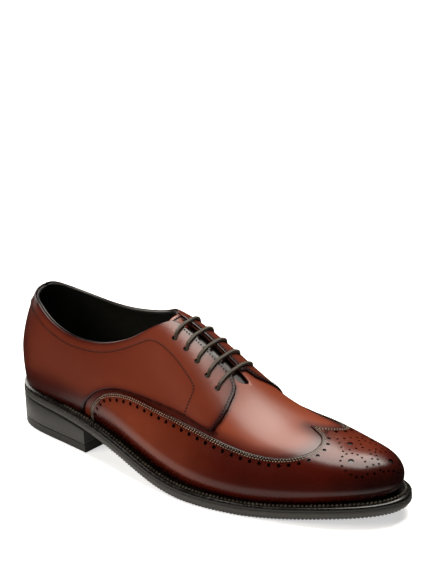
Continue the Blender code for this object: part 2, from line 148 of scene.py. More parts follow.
# Depths of the leather pieces, from the outside in.
OVERLAY_OUT = 0.0
OVERLAY_IN = -1.45
UPPER_OUT = -1.55
UPPER_IN = -3.55
WELT_IN = -3.8
TONGUE_OUT = -4.3
TONGUE_IN = -6.1
UPPER_ROUND = 0.85
TONGUE_ROUND = 0.7
THINNEST = 0.05

# Station and level of the collar edge on each side, which the throat's edge takes over at the facings' top.
COLLAR = {
    -1: ((0.6, 0.375), (6.0, 0.428), (12.0, 0.467), (18.0, 0.506), (26.0, 0.559), (33.0, 0.603),
         (42.0, 0.648), (52.0, 0.675), (60.0, 0.677), (68.0, 0.66), (76.0, 0.629), (85.0, 0.583),
         (95.0, 0.517), (104.0, 0.451), (112.0, 0.387), (118.0, 0.325), (124.0, 0.242),
         (130.0, 0.147), (136.0, 0.02), (146.0, -0.2)),
    1: ((0.6, 0.375), (6.0, 0.49), (12.0, 0.567), (18.0, 0.613), (26.0, 0.65), (33.0, 0.667),
        (42.0, 0.673), (52.0, 0.656), (60.0, 0.626), (68.0, 0.584), (76.0, 0.532), (85.0, 0.471),
        (95.0, 0.402), (104.0, 0.34), (112.0, 0.277), (118.0, 0.211), (124.0, 0.128), (130.0, 0.02),
        (136.0, -0.1), (146.0, -0.3)),
}
FACING_CORNER = 0.03
THROAT_TOP_X = 139.0
THROAT_FRONT_X = 191.0
THROAT_HALF_GAPS = {-1: (5.2, 7.2), 1: (0.9, 1.6)}
THROAT_ROUND = 7.0
OVERLAY_EDGE_STEP = (0.02, 0.006)
OVERLAY_STEP_X = (128.0, 140.0)

# Station and level of the quarters' lower edge, and level and station of the facings' front edge.
QUARTER_LOW = (
    (73.5, 2.0), (75.0, 1.75), (80.7, 1.38), (89.0, 0.994), (97.0, 0.894), (106.4, 0.81), (116.7, 0.755),
    (128.9, 0.72), (141.7, 0.692), (155.7, 0.659), (169.2, 0.626), (183.8, 0.603), (195.0, 0.588),
)
FACING_FRONT = ((0.1, 184.0), (0.14, 189.5), (0.207, 192.3), (0.353, 195.0), (0.47, 195.0), (0.583, 193.0))
QUARTER_FRONT_X = 195.0
FACING_END_GAP = 1.5
FACING_SHEAR_FROM_X = 150.0
BACK_SEAM_ANGLE = 0.006

# Station and level of the wing's edge on each side: along the tail to the notch, then to the W's peak.
WING_TAIL = (
    (81.3, 2.0), (82.3, 1.7), (88.5, 1.261), (96.2, 0.958), (104.8, 0.859), (114.8, 0.793), (124.6, 0.757),
    (143.7, 0.724), (161.4, 0.689), (179.6, 0.649),
)
WING_FRONT = {
    -1: ((198.1, 0.62), (215.4, 0.612), (230.4, 0.61), (238.8, 0.601), (246.6, 0.571), (253.2, 0.514),
         (258.6, 0.424), (261.6, 0.316), (261.0, 0.193), (257.0, 0.105), (249.5, 0.05), (241.0, 0.0)),
    1: ((198.1, 0.6), (215.4, 0.545), (230.4, 0.485), (243.0, 0.44), (250.0, 0.40), (254.8, 0.345),
        (256.8, 0.28), (256.0, 0.2), (252.6, 0.105), (247.0, 0.04), (241.0, 0.0)),
}

# Stitch row that runs below the collar and turns down the eyestay, where it has stations and levels.
COLLAR_ROW_BELOW = 6.2
WING_ROW_INSETS = (1.2, 2.5)
HOLE_ROW_INSET = 5.2
FACING_ROW_INSET = 2.2
COLLAR_ROW_TO_X = 114.0
EYESTAY_ROW = ((132.0, 0.315), (169.4, 0.39), (171.2, 0.45), (170.7, 0.617))

# Station of each eyelet on the outer and inner facing, and its level.
EYELETS = (
    (143.0, 140.5, 0.230), (153.3, 151.0, 0.236), (163.5, 161.3, 0.247), (173.5, 170.8, 0.267),
    (182.7, 180.0, 0.283),
)
TONGUE_X = (130.5, 206.0)
TONGUE_LIFT = 3.4
TONGUE_LEVEL = 0.33
TONGUE_CORNER = 9.0
TONGUE_LIFT_TO_X = 142.0
TONGUE_LIFT_LEVELS = (0.1, 0.27)
TONGUE_ROW_INSET = 3.0
TONGUE_ROW_LEVEL = 0.26

# Toe medallion, seen from above: its middle, the turn of its axis, and its figures round the middle.
MEDALLION_AT = (283.4, 13.5)
MEDALLION_TURN = 13.0
MEDALLION_BIG = ((-14.8, 0.0), (14.2, 0.0), (-6.4, -17.0), (-6.4, 17.0))
MEDALLION_REAR = ((-23.6, 0.0), (-14.8, 11.0), (-6.0, 0.0))
MEDALLION_CHEVRON = ((-1.0, 0.0), (9.7, 16.0))
MEDALLION_KITE = ((3.1, 0.0), (12.6, 13.1), (20.2, 1.8))
MEDALLION_DROP = (2.9, 9.7, 7.4, 9.4)

# How dark the leather is painted, from 0 to 1: rubbed dye, darker towards the feather edge, and painted
# shade along and under the overlays and in the throat. A pair gives a share and the millimetres over which
# it fades from an edge. Three numbers give a share and the stations or levels between which it comes in.
VAMP_DYE = 0.03
# Painted shade on the vamp along the wing's edge, partly dye, and a thin painted shadow along the quarters'
# and facings' edges.
VAMP_SHADE_BY_WING = (0.56, 6.2)
VAMP_SHADOW_BY_QUARTER = (0.45, 1.5)
VAMP_TO_TOE = (0.1, 225.0, 262.0)
# Near black painted on the upper under the wing and quarters: painted shade seen through their holes.
COVERED_SHADE = 1.2
COVERED_FROM = 1.2
WING_SIDE_DYE = 0.18
WING_SIDE_TO_TOE = (0.56, 125.0, 232.0)
WING_TOP_DYE = 0.42
WING_TOP_TO_TIP = (0.4, 286.0, 306.0)
WING_TOP_LEVELS = (0.25, 0.75)
TOE_SIDE_DYE = (0.16, 265.0, 302.0)
TOE_SIDE_LEVELS = (0.35, 0.95)
TAIL_DYE = (0.3, 150.0, 95.0)
TAIL_LEVELS = (0.85, 1.4)
WING_FEATHER = (0.903, 0.85, 2.0)
WING_EDGE_LIMIT = 0.7
WING_EDGE_BAND = (0.5, 6.5)
WING_EDGE_LINE = (0.3, 2.9)
QUARTER_DYE = 0.27
QUARTER_TO_BACK = (0.4, 42.0, 4.0)
QUARTER_TO_FRONT = (-0.1, 120.0, 170.0)
QUARTER_FEATHER = (0.57, 0.8, 2.0)
QUARTER_BY_COLLAR = (0.14, 16.0)
QUARTER_EDGE_LINE = (0.3, 2.0)
QUARTER_BY_FACING = (0.42, 5.0)
TONGUE_DYE = 0.15
# The red tongue turns near black in the throat between the facings: painted shade.
TONGUE_SHADE_IN_THROAT = (1.0, 138.0, 144.0)

# Shares of a panel's height where rows close up towards its edges.
EDGE_ROWS = np.array((0.0, 0.003, 0.007, 0.013, 0.022, 0.035))
EDGE_COLUMNS = np.array((0.0, 0.15, 0.35, 0.7, 1.2, 2.0))
BELOW_SHARE = 0.25
COLUMN_GAP = 0.14
TOE_SPLIT_LEVEL = 0.3
GIRTH_LEVELS = np.linspace(FEATHER_LEVEL, 0.0, 241)
HEEL_ROW_POWER = 1.7
HEEL_ROWS_X = (80.0, 130.0)
SIDE_COLUMNS = 221
STATION_GAP = 0.4
RIDGE_CLEAR = 0.004
LINE_STEP = 1.0
FREE_LEVEL = 1.98
CUT_EDGE = 0.05
PUNCH_REACH = 6.0
WELD = 0.03
SHARP_ANGLE = 40.0

# The camera: turn, tilt and roll in degrees, distances in metres, lens for the frame's long side.
CAMERA_TURN = 39.802
CAMERA_TILT = 23.720
CAMERA_ROLL = -0.440
CAMERA_DISTANCE = 2.42476
CAMERA_TARGET = (-0.0016, 0.00045, 0.045)
CAMERA_AIM = (0.003847, 0.03133)
CAMERA_LENS = 227.57


def cubic(xs, ys):
    """Natural cubic curve through the points, level past both ends."""
    xs = np.asarray(xs, float)
    ys = np.asarray(ys, float)
    count = len(xs)
    step = np.diff(xs)
    system = np.eye(count)
    right = np.zeros(count)
    for i in range(1, count - 1):
        system[i, i - 1:i + 2] = step[i - 1], 2 * (step[i - 1] + step[i]), step[i]
        right[i] = 6 * ((ys[i + 1] - ys[i]) / step[i] - (ys[i] - ys[i - 1]) / step[i - 1])
    bend = np.linalg.solve(system, right)

    def curve(x):
        x = np.clip(np.asarray(x, float), xs[0], xs[-1])
        i = np.clip(np.searchsorted(xs, x) - 1, 0, count - 2)
        after = xs[i + 1] - x
        before = x - xs[i]
        h = step[i]
        bent = (bend[i] * after**3 + bend[i + 1] * before**3) / (6 * h)
        return bent + (ys[i] / h - bend[i] * h / 6) * after + (ys[i + 1] / h - bend[i + 1] * h / 6) * before

    return curve


def run_length(points):
    """Distance along a row of points, from its first to each."""
    return np.r_[0, np.cumsum(np.linalg.norm(np.diff(points, axis=0), axis=1))]


def resample(points, length, steps):
    return np.stack([np.interp(steps, length, points[:, i]) for i in (0, 1)], -1)


def unit(vectors):
    return vectors / np.linalg.norm(vectors, axis=-1, keepdims=True)


def column(table, index):
    return np.array([row[index] for row in table], float)


def table_curve(table, index=1):
    return cubic(column(table, 0), column(table, index))


BOTTOM_CURVE = table_curve(BOTTOM)
BULGE_RISE = table_curve(SIDE_WALL, 1)
TUCK = {-1: table_curve(SIDE_WALL, 2), 1: table_curve(SIDE_WALL, 3)}
FULL_N = table_curve(SECTION_N)
FULL_M = table_curve(SECTION_M)
MARGIN = table_curve(SOLE_MARGIN)
COLLAR_LEVEL = {side: table_curve(table) for side, table in COLLAR.items()}
RIDGE_Y = cubic(
    np.r_[HEEL_X, column(PLAN, 0), TOE_X],
    np.r_[RIDGE_Y_AT_HEEL, column(PLAN, 1), RIDGE_Y_AT_TOE],
)


def bottom(x):
    return np.maximum(BOTTOM_CURVE(x), 0.0)


def bulge(x):
    return bottom(x) + SOLE_STACK + BULGE_RISE(x)


def width_shape(index):
    """Half width divided by a round-ended shape, so both ends keep their radius."""
    share = (column(PLAN, 0) - HEEL_X) / SPAN
    inner = column(PLAN, index) / np.sqrt(share * (1 - share))
    ends = np.sqrt(2 * SPAN * np.array([HEEL_RADIUS, TOE_RADIUS]))
    return cubic(np.r_[0, share, 1], np.r_[ends[0], inner, ends[1]])


WIDTH_SHAPE = {-1: width_shape(2), 1: width_shape(3)}
RIDGE_SHARE = (column(RIDGE, 0) - HEEL_X) / SPAN
RIDGE_SHAPE = cubic(
    np.r_[RIDGE_SHARE, 1],
    np.r_[(column(RIDGE, 1) - bulge(column(RIDGE, 0))) / np.sqrt(1 - RIDGE_SHARE),
          np.sqrt(2 * SPAN * TOE_PROFILE_RADIUS)],
)


def share_of(x, depth):
    return np.clip((x - HEEL_X + depth) / (SPAN + 2 * depth), 0, 1)


def half_width(x, side, depth=0.0):
    share = share_of(x, depth)
    shape = np.where(side < 0, WIDTH_SHAPE[-1](share), WIDTH_SHAPE[1](share))
    return np.sqrt(share * (1 - share)) * shape * (1 + depth / TYPICAL_HALF_WIDTH)


def ridge_rise(x, depth=0.0):
    share = share_of(x, depth)
    return np.sqrt(1 - share) * RIDGE_SHAPE(share) * (1 + depth / TYPICAL_RISE)


def ridge_foot(x):
    """Where the section through a station ends on the ridge: sections fan round the heel and the toe."""
    x = RIDGE_TO_X - RIDGE_TO_BLEND * np.log1p(np.exp((RIDGE_TO_X - x) / RIDGE_TO_BLEND))
    return RIDGE_FROM_X + RIDGE_FROM_BLEND * np.log1p(np.exp((x - RIDGE_FROM_X) / RIDGE_FROM_BLEND))


def on_last(station, level, depth=0.0):
    """Points of the last's surface, in millimetres."""
    station, level, depth = np.broadcast_arrays(
        np.asarray(station, float), np.asarray(level, float), np.asarray(depth, float)
    )
    side = np.where(level < 0, -1, 1)
    height = np.abs(level)
    wide_x = HEEL_X - depth + (station - HEEL_X) / SPAN * (SPAN + 2 * depth)
    wide_y = RIDGE_Y(wide_x) + side * half_width(wide_x, side, depth)
    top_x = ridge_foot(wide_x)
    along = np.stack([wide_x - top_x, wide_y - RIDGE_Y(top_x)], -1)
    reach = np.sin(np.minimum(height, 1) * np.pi / 2)
    back = np.exp(-(((station - HEEL_X) / BACK_REACH_X) ** 2))
    lean = 1 - BACK_LEAN**back * (1 - reach) ** (1 - BACK_BEND * back)
    x = top_x + along[..., 0] * lean
    y = RIDGE_Y(top_x) + along[..., 1] * lean
    at_heel = wide_x < HEEL_FAN_X
    across = np.abs(y - RIDGE_Y(x)) / np.maximum(half_width(x, side, depth), 1e-6)
    across = np.clip(np.where(at_heel, reach, across), 0, 1)
    section_x = np.where(at_heel, top_x, x)
    lift = np.maximum(1 - across**FULL_N(section_x), 0) ** (1 / FULL_M(section_x))
    z = bulge(np.where(at_heel, wide_x, x)) + ridge_rise(section_x, depth) * lift
    drop = np.clip(height - 1, 0, 1)
    tuck = np.where(side < 0, TUCK[-1](wide_x), TUCK[1](wide_x)) * drop**2
    inward = tuck / np.maximum(np.hypot(along[..., 0], along[..., 1]), 1e-6)
    below = height > 1
    x = np.where(below, wide_x - along[..., 0] * inward, x)
    y = np.where(below, wide_y - along[..., 1] * inward, y)
    z = np.where(below, bulge(wide_x) - BULGE_RISE(wide_x) * drop, z)
    return np.stack([x, y, z], -1)


def station_of(angle):
    """Even angles give stations that close up round both ends."""
    return HEEL_X + SPAN * (1 - np.cos(angle)) / 2


def angle_of(station):
    return np.arccos(np.clip(1 - 2 * (np.asarray(station, float) - HEEL_X) / SPAN, -1, 1))


def wide_line(angle, side):
    x = station_of(angle)
    return np.stack([x, RIDGE_Y(x) + side * half_width(x, side)], -1)


def sole_edge(angle, side, inset=0.0):
    """Outline of the sole seen from above: the widest line moved out along its normal."""
    tiny = 1e-3
    before = wide_line(np.clip(angle - tiny, 1e-6, np.pi - 1e-6), side)
    after = wide_line(np.clip(angle + tiny, 1e-6, np.pi - 1e-6), side)
    run = unit(after - before)
    side = np.asarray(side)[..., None]
    normal = np.concatenate([-side * run[..., 1:], side * run[..., :1]], -1)
    return wide_line(angle, side[..., 0]) + normal * (MARGIN(station_of(angle)) - inset)[..., None]


def throat_level(x, side):
    share = (x - THROAT_TOP_X) / (THROAT_FRONT_X - THROAT_TOP_X)
    half_gap = np.interp(share, (0, 1), THROAT_HALF_GAPS[side])
    closing = np.clip((x - THROAT_FRONT_X + THROAT_ROUND) / THROAT_ROUND, 0, 1)
    half_gap = half_gap * np.sqrt(1 - closing**2)
    return np.arcsin(np.clip(half_gap / np.maximum(half_width(x, side), 10.0), 0, 1)) * 2 / np.pi


def top_level(x, side):
    """The upper's free edge: the collar, then the throat, with a rounded corner between them."""
    collar = COLLAR_LEVEL[side](x)
    throat = throat_level(x, side)
    rounded = (collar + throat + np.hypot(collar - throat, FACING_CORNER)) / 2
    blend = np.clip((x - THROAT_TOP_X) / (2 * THROAT_ROUND), 0, 1)
    return np.where(x >= THROAT_FRONT_X, 0.0, rounded * (1 - blend) + throat * blend)


# Loops run from the toe along the outer side to the heel, and back along the inner side.
SIDE_ANGLES = np.linspace(0, np.pi, SIDE_COLUMNS)
LOOP_ANGLES = np.r_[SIDE_ANGLES[::-1], SIDE_ANGLES[1:-1]]
LOOP_SIDES = np.r_[-np.ones(SIDE_COLUMNS, int), np.ones(SIDE_COLUMNS - 2, int)]
LOOP_X = station_of(LOOP_ANGLES)

# The last's origin in the frame, from the outsole's box there.
SOLE_CORNER = np.array(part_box("outsole")[0][:2]) / MM
MIDDLE = np.r_[sole_edge(LOOP_ANGLES, LOOP_SIDES).min(0) - SOLE_CORNER, 0.0]


def in_frame(points):
    return (np.asarray(points) - MIDDLE) * MM


def smooth_step(low, high, value):
    share = np.clip((value - low) / (high - low), 0, 1)
    return share * share * (3 - 2 * share)


def near(distance, width):
    """1 at an edge, fading out over the width."""
    return np.exp(-((distance / width) ** 2))


def fading(band, distance):
    share, width = band
    return share * near(distance, width)


def rising(band, value):
    share, start, end = band
    return share * smooth_step(start, end, value)


# Rows of a panel are even shares of the height between the feather edge and the upper's free edge.

def row_power(stations):
    return np.interp(stations, HEEL_ROWS_X, (HEEL_ROW_POWER, 1.0))


def share_at(stations, levels, side):
    top = top_level(stations, side)
    above = np.clip((1 - levels) / (1 - top), 0, 1) ** (1 / row_power(stations))
    return np.where(levels > 1, (2 - levels) * BELOW_SHARE, BELOW_SHARE + (1 - BELOW_SHARE) * above)


def level_at(stations, shares, side):
    top = top_level(stations, side)
    above = np.clip((shares - BELOW_SHARE) / (1 - BELOW_SHARE), 0, 1) ** row_power(stations)
    return np.where(shares < BELOW_SHARE, 2 - shares / BELOW_SHARE, 1 + (top - 1) * above)


def girths(station, side):
    """Distances from the feather edge up one side to each of the levels."""
    return run_length(on_last(station, side * GIRTH_LEVELS))


def smooth_table(table, side, passes=24):
    """The table's stations and levels joined by one curve that is smooth on the leather laid flat."""
    stations = column(table, 0)
    heights = np.array([np.interp(-level, -GIRTH_LEVELS, girths(x, side)) for x, level in table])
    run = np.r_[0, np.cumsum(np.hypot(np.diff(stations), np.diff(heights)))]
    steps = np.linspace(0, run[-1], 300)
    curve = np.stack([cubic(run, stations)(steps), cubic(run, heights)(steps)], -1)
    for _ in range(passes):
        curve[1:-1] = (curve[:-2] + 2 * curve[1:-1] + curve[2:]) / 4
    levels = [np.interp(height, girths(x, side), GIRTH_LEVELS) for x, height in curve]
    return np.stack([curve[:, 0], levels], -1)


# Each wing's whole edge as one curve, split at the notch, which is its foremost place.
WING_PATH = {side: smooth_table(WING_TAIL + front, side) for side, front in WING_FRONT.items()}
NOTCH_ROW = {side: int(np.argmax(path[:, 0])) for side, path in WING_PATH.items()}
WING_CURVE = {side: path[:NOTCH_ROW[side] + 1] for side, path in WING_PATH.items()}
PEAK_CURVE = {side: path[NOTCH_ROW[side]:][::-1] for side, path in WING_PATH.items()}
QUARTER_CURVE = smooth_table(QUARTER_LOW, -1)
PEAK_X = WING_FRONT[-1][-1][0]


def row_shares(count, closed_start, closed_end):
    """Shares from 0 to 1, closing up at the ends that are free edges."""
    shares = [np.linspace(0, 1, count)]
    if closed_start:
        shares.append(EDGE_ROWS)
    if closed_end:
        shares.append(1 - EDGE_ROWS)
    return np.unique(np.concatenate(shares))


def even_stations(start, end):
    """Even stations between two, with both ends."""
    stations = station_of(SIDE_ANGLES)
    inside = stations[(stations > start + STATION_GAP) & (stations < end - STATION_GAP)]
    return np.r_[start, inside, end]


# Lines on the last: arrays of angle and signed level.

def chart_line(stations, levels, side):
    return np.stack([angle_of(stations), np.asarray(levels, float) * side], -1)


def curve_line(curve, side):
    return chart_line(curve[:, 0], curve[:, 1], side)


def line_points(line, depth=0.0):
    return on_last(station_of(line[:, 0]), line[:, 1], depth)


def spread(line, spacing):
    """The line at even steps along the last."""
    fine = np.linspace(0, len(line) - 1, 60 * len(line))
    rows = np.arange(len(line))
    dense = resample(line, rows, fine)
    length = run_length(line_points(dense))
    steps = np.linspace(0, length[-1], max(2, int(round(length[-1] / spacing)) + 1))
    return resample(dense, length, steps)


def points_on(*lines):
    """Close points on the last along some lines, to measure distances from."""
    return np.concatenate([line_points(spread(line, LINE_STEP)) for line in lines])


def rounded(line, times=3):
    """Cuts the line's corners."""
    for _ in range(times):
        cut = np.stack([0.75 * line[:-1] + 0.25 * line[1:], 0.25 * line[:-1] + 0.75 * line[1:]], 1)
        line = np.concatenate([line[:1], cut.reshape(-1, 2), line[-1:]])
    return line


def line_frames(line, depth=0.0):
    """Points of a line, with the unit directions along it and out of the surface."""
    step = 1e-4
    station, level = station_of(line[:, 0]), line[:, 1]
    points = on_last(station, level, depth)
    by_angle = on_last(station_of(line[:, 0] + step), level) - on_last(station_of(line[:, 0] - step), level)
    by_level = on_last(station, level + step) - on_last(station, level - step)
    out = unit(np.cross(by_angle, by_level))
    along = np.gradient(points, axis=0)
    along = unit(along - out * (along * out).sum(1, keepdims=True))
    return points, along, out, by_angle / (2 * step), by_level / (2 * step)


def moved(line, distance):
    """The line moved sideways on the last, to its left seen from outside."""
    _, along, out, by_angle, by_level = line_frames(line)
    left = np.cross(out, along) * distance
    steps = [
        np.linalg.lstsq(np.stack([a, b], -1), push, rcond=None)[0]
        for a, b, push in zip(by_angle, by_level, left)
    ]
    return line + np.array(steps)


def inside_edge(line, distance, side):
    """A line the given distance inside a panel's edge, cut where it would cross the ridge."""
    line = moved(spread(line, LINE_STEP), distance * side)
    return line[line[:, 1] * side > RIDGE_CLEAR]


def edge_step(stations):
    """How far an overlay's edge stays below the upper's: more at the collar than at the throat."""
    return np.interp(stations, OVERLAY_STEP_X, OVERLAY_EDGE_STEP)


def wing_line(side):
    return curve_line(WING_PATH[side], side)


def facing_line(side):
    """The facing's edge: along the throat from the collar, then round the front to the lower corner."""
    front_x = column(FACING_FRONT, 1)
    stations = np.linspace(THROAT_TOP_X + FACING_END_GAP, front_x[0] - FACING_END_GAP, 24)
    levels = top_level(stations, side) + edge_step(stations)
    stations = np.r_[stations, front_x]
    return rounded(chart_line(stations, np.r_[levels, column(FACING_FRONT, 0)], side))


def collar_line(side):
    stations = even_stations(HEEL_X + 0.05, COLLAR_ROW_TO_X)
    return chart_line(stations, top_level(stations, side) + edge_step(stations), side)


def eyestay_line(side):
    """The row below the collar that turns down the eyestay to the quarter's lower edge."""
    below = moved(collar_line(side), COLLAR_ROW_BELOW * side)
    down = chart_line(column(EYESTAY_ROW, 0), column(EYESTAY_ROW, 1), side)
    return np.concatenate([below, rounded(np.concatenate([below[-1:], down]))[1:]])


def place_on_plan(places, longest=0.06):
    """Line places under points seen from above, found by Newton steps on the toe's top."""
    places = np.asarray(places, float)
    line = np.stack([angle_of(np.clip(places[:, 0], 0, TOE_X - 8)), np.zeros(len(places))], -1)
    line[:, 1] = np.where(places[:, 1] < RIDGE_Y(places[:, 0]), -0.3, 0.3)
    for _ in range(40):
        points, _, _, by_angle, by_level = line_frames(line)
        miss = places - points[:, :2]
        for i in range(len(line)):
            jacobian = np.stack([by_angle[i, :2], by_level[i, :2]], -1)
            push = np.linalg.lstsq(jacobian, miss[i], rcond=0.02)[0]
            line[i] += np.clip(push, -longest, longest)
        line[:, 0] = np.clip(line[:, 0], 0.02, np.pi - 0.004)
    return line


def along_path(corners, count):
    """Evenly spaced places along straight runs between corners."""
    corners = np.asarray(corners, float)
    length = run_length(corners)
    return resample(corners, length, np.linspace(0, length[-1], count))


def medallion_places():
    """Small and big holes of the medallion, from above: a diamond, a chevron, a kite and two drops."""
    ahead, half_long, outer_wide, inner_wide = MEDALLION_DROP
    turn = np.linspace(0, 2 * np.pi, 200)
    swell = np.sin(turn) * np.abs(np.sin(turn / 2)) ** 0.5
    drop = np.stack([
        ahead + half_long * np.cos(turn),
        1.0 + 0.8 * np.cos(turn) + swell * np.where(swell > 0, outer_wide, inner_wide),
    ], -1)
    half = np.concatenate([
        along_path(MEDALLION_REAR, 7), along_path(MEDALLION_CHEVRON, 5), along_path(MEDALLION_KITE, 9),
        along_path(drop + MEDALLION_BIG[-1], 15)[:-1],
    ])
    mirrored = half[half[:, 1] > 0.01] * (1, -1)
    small = np.concatenate([half, mirrored])
    cos, sin = np.cos(np.radians(MEDALLION_TURN)), np.sin(np.radians(MEDALLION_TURN))
    turned = np.array(((cos, sin), (-sin, cos)))
    return [np.asarray(group) @ turned + MEDALLION_AT for group in (small, MEDALLION_BIG)]


# Meshes and pieces.

def add_object(name, points, faces, skins, slots=None):
    """A smooth mesh object from points in millimetres on the last."""
    mesh = bpy.data.meshes.new(name)
    mesh.from_pydata(in_frame(points).tolist(), [], faces)
    for skin in skins:
        mesh.materials.append(skin)
    if slots is not None:
        mesh.polygons.foreach_set("material_index", np.asarray(slots, np.int32))
    piece = bpy.data.objects.new(name, mesh)
    bpy.context.scene.collection.objects.link(piece)
    return piece


def turn_outwards(piece):
    form = bmesh.new()
    form.from_mesh(piece.data)
    bmesh.ops.recalc_face_normals(form, faces=form.faces)
    form.to_mesh(piece.data)
    form.free()


def hand_over(piece, nodes=()):
    """Shades a finished piece and fixes it to the frame."""
    piece.data.shade_smooth()
    piece.data.set_sharp_from_angle(angle=np.radians(SHARP_ANGLE))
    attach(piece, BODY)
    if nodes:
        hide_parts(*nodes)


def set_values(piece, name, values):
    layer = piece.data.attributes.new(name, "FLOAT", "POINT")
    layer.data.foreach_set("value", np.asarray(values, np.float32))


def grid_faces(rows, columns, wrap=False):
    faces = []
    for row in range(rows - 1):
        for col in range(columns if wrap else columns - 1):
            right = (col + 1) % columns
            low = row * columns
            high = low + columns
            faces.append((low + col, low + right, high + right, high + col))
    return faces


def tree_of(points):
    tree = KDTree(len(points))
    for i, point in enumerate(points):
        tree.insert(point, i)
    tree.balance()
    return tree


def distances(points, others):
    tree = tree_of(others)
    return np.array([tree.find(point)[2] for point in points])


class Leather:
    """A closed sheet of leather over patches of stations and levels, with its free edges rounded."""

    def __init__(self, patches, depths, rounding):
        form = bmesh.new()
        station_layer = form.verts.layers.float.new("station")
        level_layer = form.verts.layers.float.new("level")
        for stations, levels in patches:
            stations, levels = np.broadcast_arrays(stations, levels)
            points = on_last(stations, levels, depths[0]).reshape(-1, 3)
            verts = [form.verts.new(point) for point in points]
            for vert, station, level in zip(verts, stations.flat, levels.flat):
                vert[station_layer] = station
                vert[level_layer] = level
            for face in grid_faces(*stations.shape):
                form.faces.new([verts[i] for i in face])
        bmesh.ops.remove_doubles(form, verts=form.verts, dist=WELD)
        form.verts.index_update()
        self.station = np.array([vert[station_layer] for vert in form.verts])
        self.level = np.array([vert[level_layer] for vert in form.verts])
        outer = [[vert.index for vert in face.verts] for face in form.faces]
        rim = [[vert.index for vert in edge.verts] for edge in form.edges if edge.is_boundary]
        form.free()
        flat = on_last(self.station, self.level, depths[0])
        free = [edge for edge in rim if np.abs(self.level[edge]).min() < FREE_LEVEL]
        samples = [flat[a] + (flat[b] - flat[a]) * share for a, b in free for share in (0, 0.33, 0.67)]
        self.edge = distances(flat, samples)
        drop = rounding * (1 - np.sqrt(1 - (1 - np.minimum(self.edge / rounding, 1)) ** 2))
        count = len(flat)
        self.points = np.concatenate([
            on_last(self.station, self.level, depths[0] - drop),
            on_last(self.station, self.level, np.minimum(depths[1] + drop, depths[0] - drop - THINNEST)),
        ])
        inner = [[i + count for i in reversed(face)] for face in outer]
        walls = [(a, b, b + count, a + count) for a, b in rim]
        self.faces = outer + inner + walls
        self.slots = [0] * len(outer) + [1] * (len(inner) + len(walls))
        self.count = count

    def build(self, name, skins):
        slots = self.slots if len(skins) > 1 else None
        piece = add_object(name, self.points, self.faces, skins, slots)
        turn_outwards(piece)
        return piece

    def paint(self, piece, burnish):
        """Spreads burnish and painted shade from the sheet to the piece's vertices. Cut edges and the
        inside are dark.
        """
        dark = np.where(self.edge < CUT_EDGE, 1.0, burnish)
        values = np.r_[dark, np.ones(self.count)]
        tree = tree_of(in_frame(self.points))
        set_values(piece, "burnish", [values[tree.find(vert.co)[1]] for vert in piece.data.vertices])


# Shader nodes.

def feed(tree, socket, value):
    """Links a socket to another, or sets its value."""
    if isinstance(value, bpy.types.NodeSocket):
        tree.links.new(value, socket)
    else:
        socket.default_value = value


def fill(tree, node, inputs):
    for key, value in inputs.items():
        feed(tree, node.inputs[key], value)


def add_node(tree, kind, inputs=None, **settings):
    """A new node with its settings, and with its inputs linked or set."""
    node = tree.nodes.new(kind)
    for name, value in settings.items():
        setattr(node, name, value)
    fill(tree, node, inputs or {})
    return node


def math_node(tree, operation, first, second=0.0, third=0.0):
    inputs = {0: first, 1: second, 2: third}
    return add_node(tree, "ShaderNodeMath", inputs, operation=operation).outputs[0]


def mix_colours(tree, share, first, second):
    """Blends two colours, each a socket or a red, green and blue."""
    first, second = [
        end if isinstance(end, bpy.types.NodeSocket) else (*end, 1.0) for end in (first, second)
    ]
    return add_node(tree, "ShaderNodeMix", {0: share, 6: first, 7: second}, data_type="RGBA").outputs[2]


def ramp(tree, value, low, high, to_low=0.0, to_high=1.0):
    limits = {"Value": value, "From Min": low, "From Max": high, "To Min": to_low, "To Max": to_high}
    return add_node(tree, "ShaderNodeMapRange", limits, interpolation_type="SMOOTHSTEP").outputs["Result"]


def noise(tree, vector, scale, detail):
    inputs = {"Vector": vector, "Scale": scale, "Detail": detail}
    return add_node(tree, "ShaderNodeTexNoise", inputs).outputs["Fac"]


def new_tree(name, kind, inputs, outputs):
    """A node group with named inputs and outputs, and the sockets inside it that stand for them."""
    tree = bpy.data.node_groups.new(name, kind)
    for in_out, sockets in (("INPUT", inputs), ("OUTPUT", outputs)):
        for label, socket in sockets.items():
            tree.interface.new_socket(label, in_out=in_out, socket_type="NodeSocket" + socket)
    return tree, add_node(tree, "NodeGroupInput").outputs, add_node(tree, "NodeGroupOutput").inputs


def built_once(name):
    """Marks a function that builds a node group of this name, so that it is built once and then reused."""
    def mark(build):
        def find():
            return bpy.data.node_groups.get(name) or build(name)
        return find
    return mark


@built_once("surface_grain")
def grain_group(name):
    """Soft mottling and a fine raised grain, both read from object coordinates."""
    group, given, made = new_tree(
        name, "ShaderNodeTree",
        {"Vector": "Vector", "Mottle Scale": "Float", "Grain Scale": "Float"},
        {"Mottle": "Float", "Height": "Float"},
    )
    feed(group, made["Mottle"], noise(group, given["Vector"], given["Mottle Scale"], 4.0))
    feed(group, made["Height"], noise(group, given["Vector"], given["Grain Scale"], 2.0))
    return group


@built_once("leather_patina")
def patina_group(name):
    """Hand-rubbed dye and painted shade: from a light tone over a middle and a deep one to near black where
    burnished or painted as shade.
    """
    group, given, made = new_tree(
        name, "ShaderNodeTree",
        {"Burnish": "Float", "Mottle": "Float", "Light": "Color", "Middle": "Color", "Deep": "Color",
         "Dark": "Color", "Polish": "Float"},
        {"Color": "Color", "Roughness": "Float"},
    )
    cloud = math_node(group, "MULTIPLY_ADD", given["Mottle"], 0.14, -0.07)
    darkening = math_node(group, "ADD", given["Burnish"], cloud)
    tone = given["Light"]
    for darker, low, high in (("Middle", 0.0, 0.36), ("Deep", 0.3, 0.72), ("Dark", 0.66, 1.0)):
        tone = mix_colours(group, ramp(group, darkening, low, high), tone, given[darker])
    feed(group, made["Color"], tone)
    gloss = ramp(group, darkening, 0.1, 0.6, 0.31, 0.27)
    feed(group, made["Roughness"], math_node(group, "SUBTRACT", gloss, given["Polish"]))
    return group


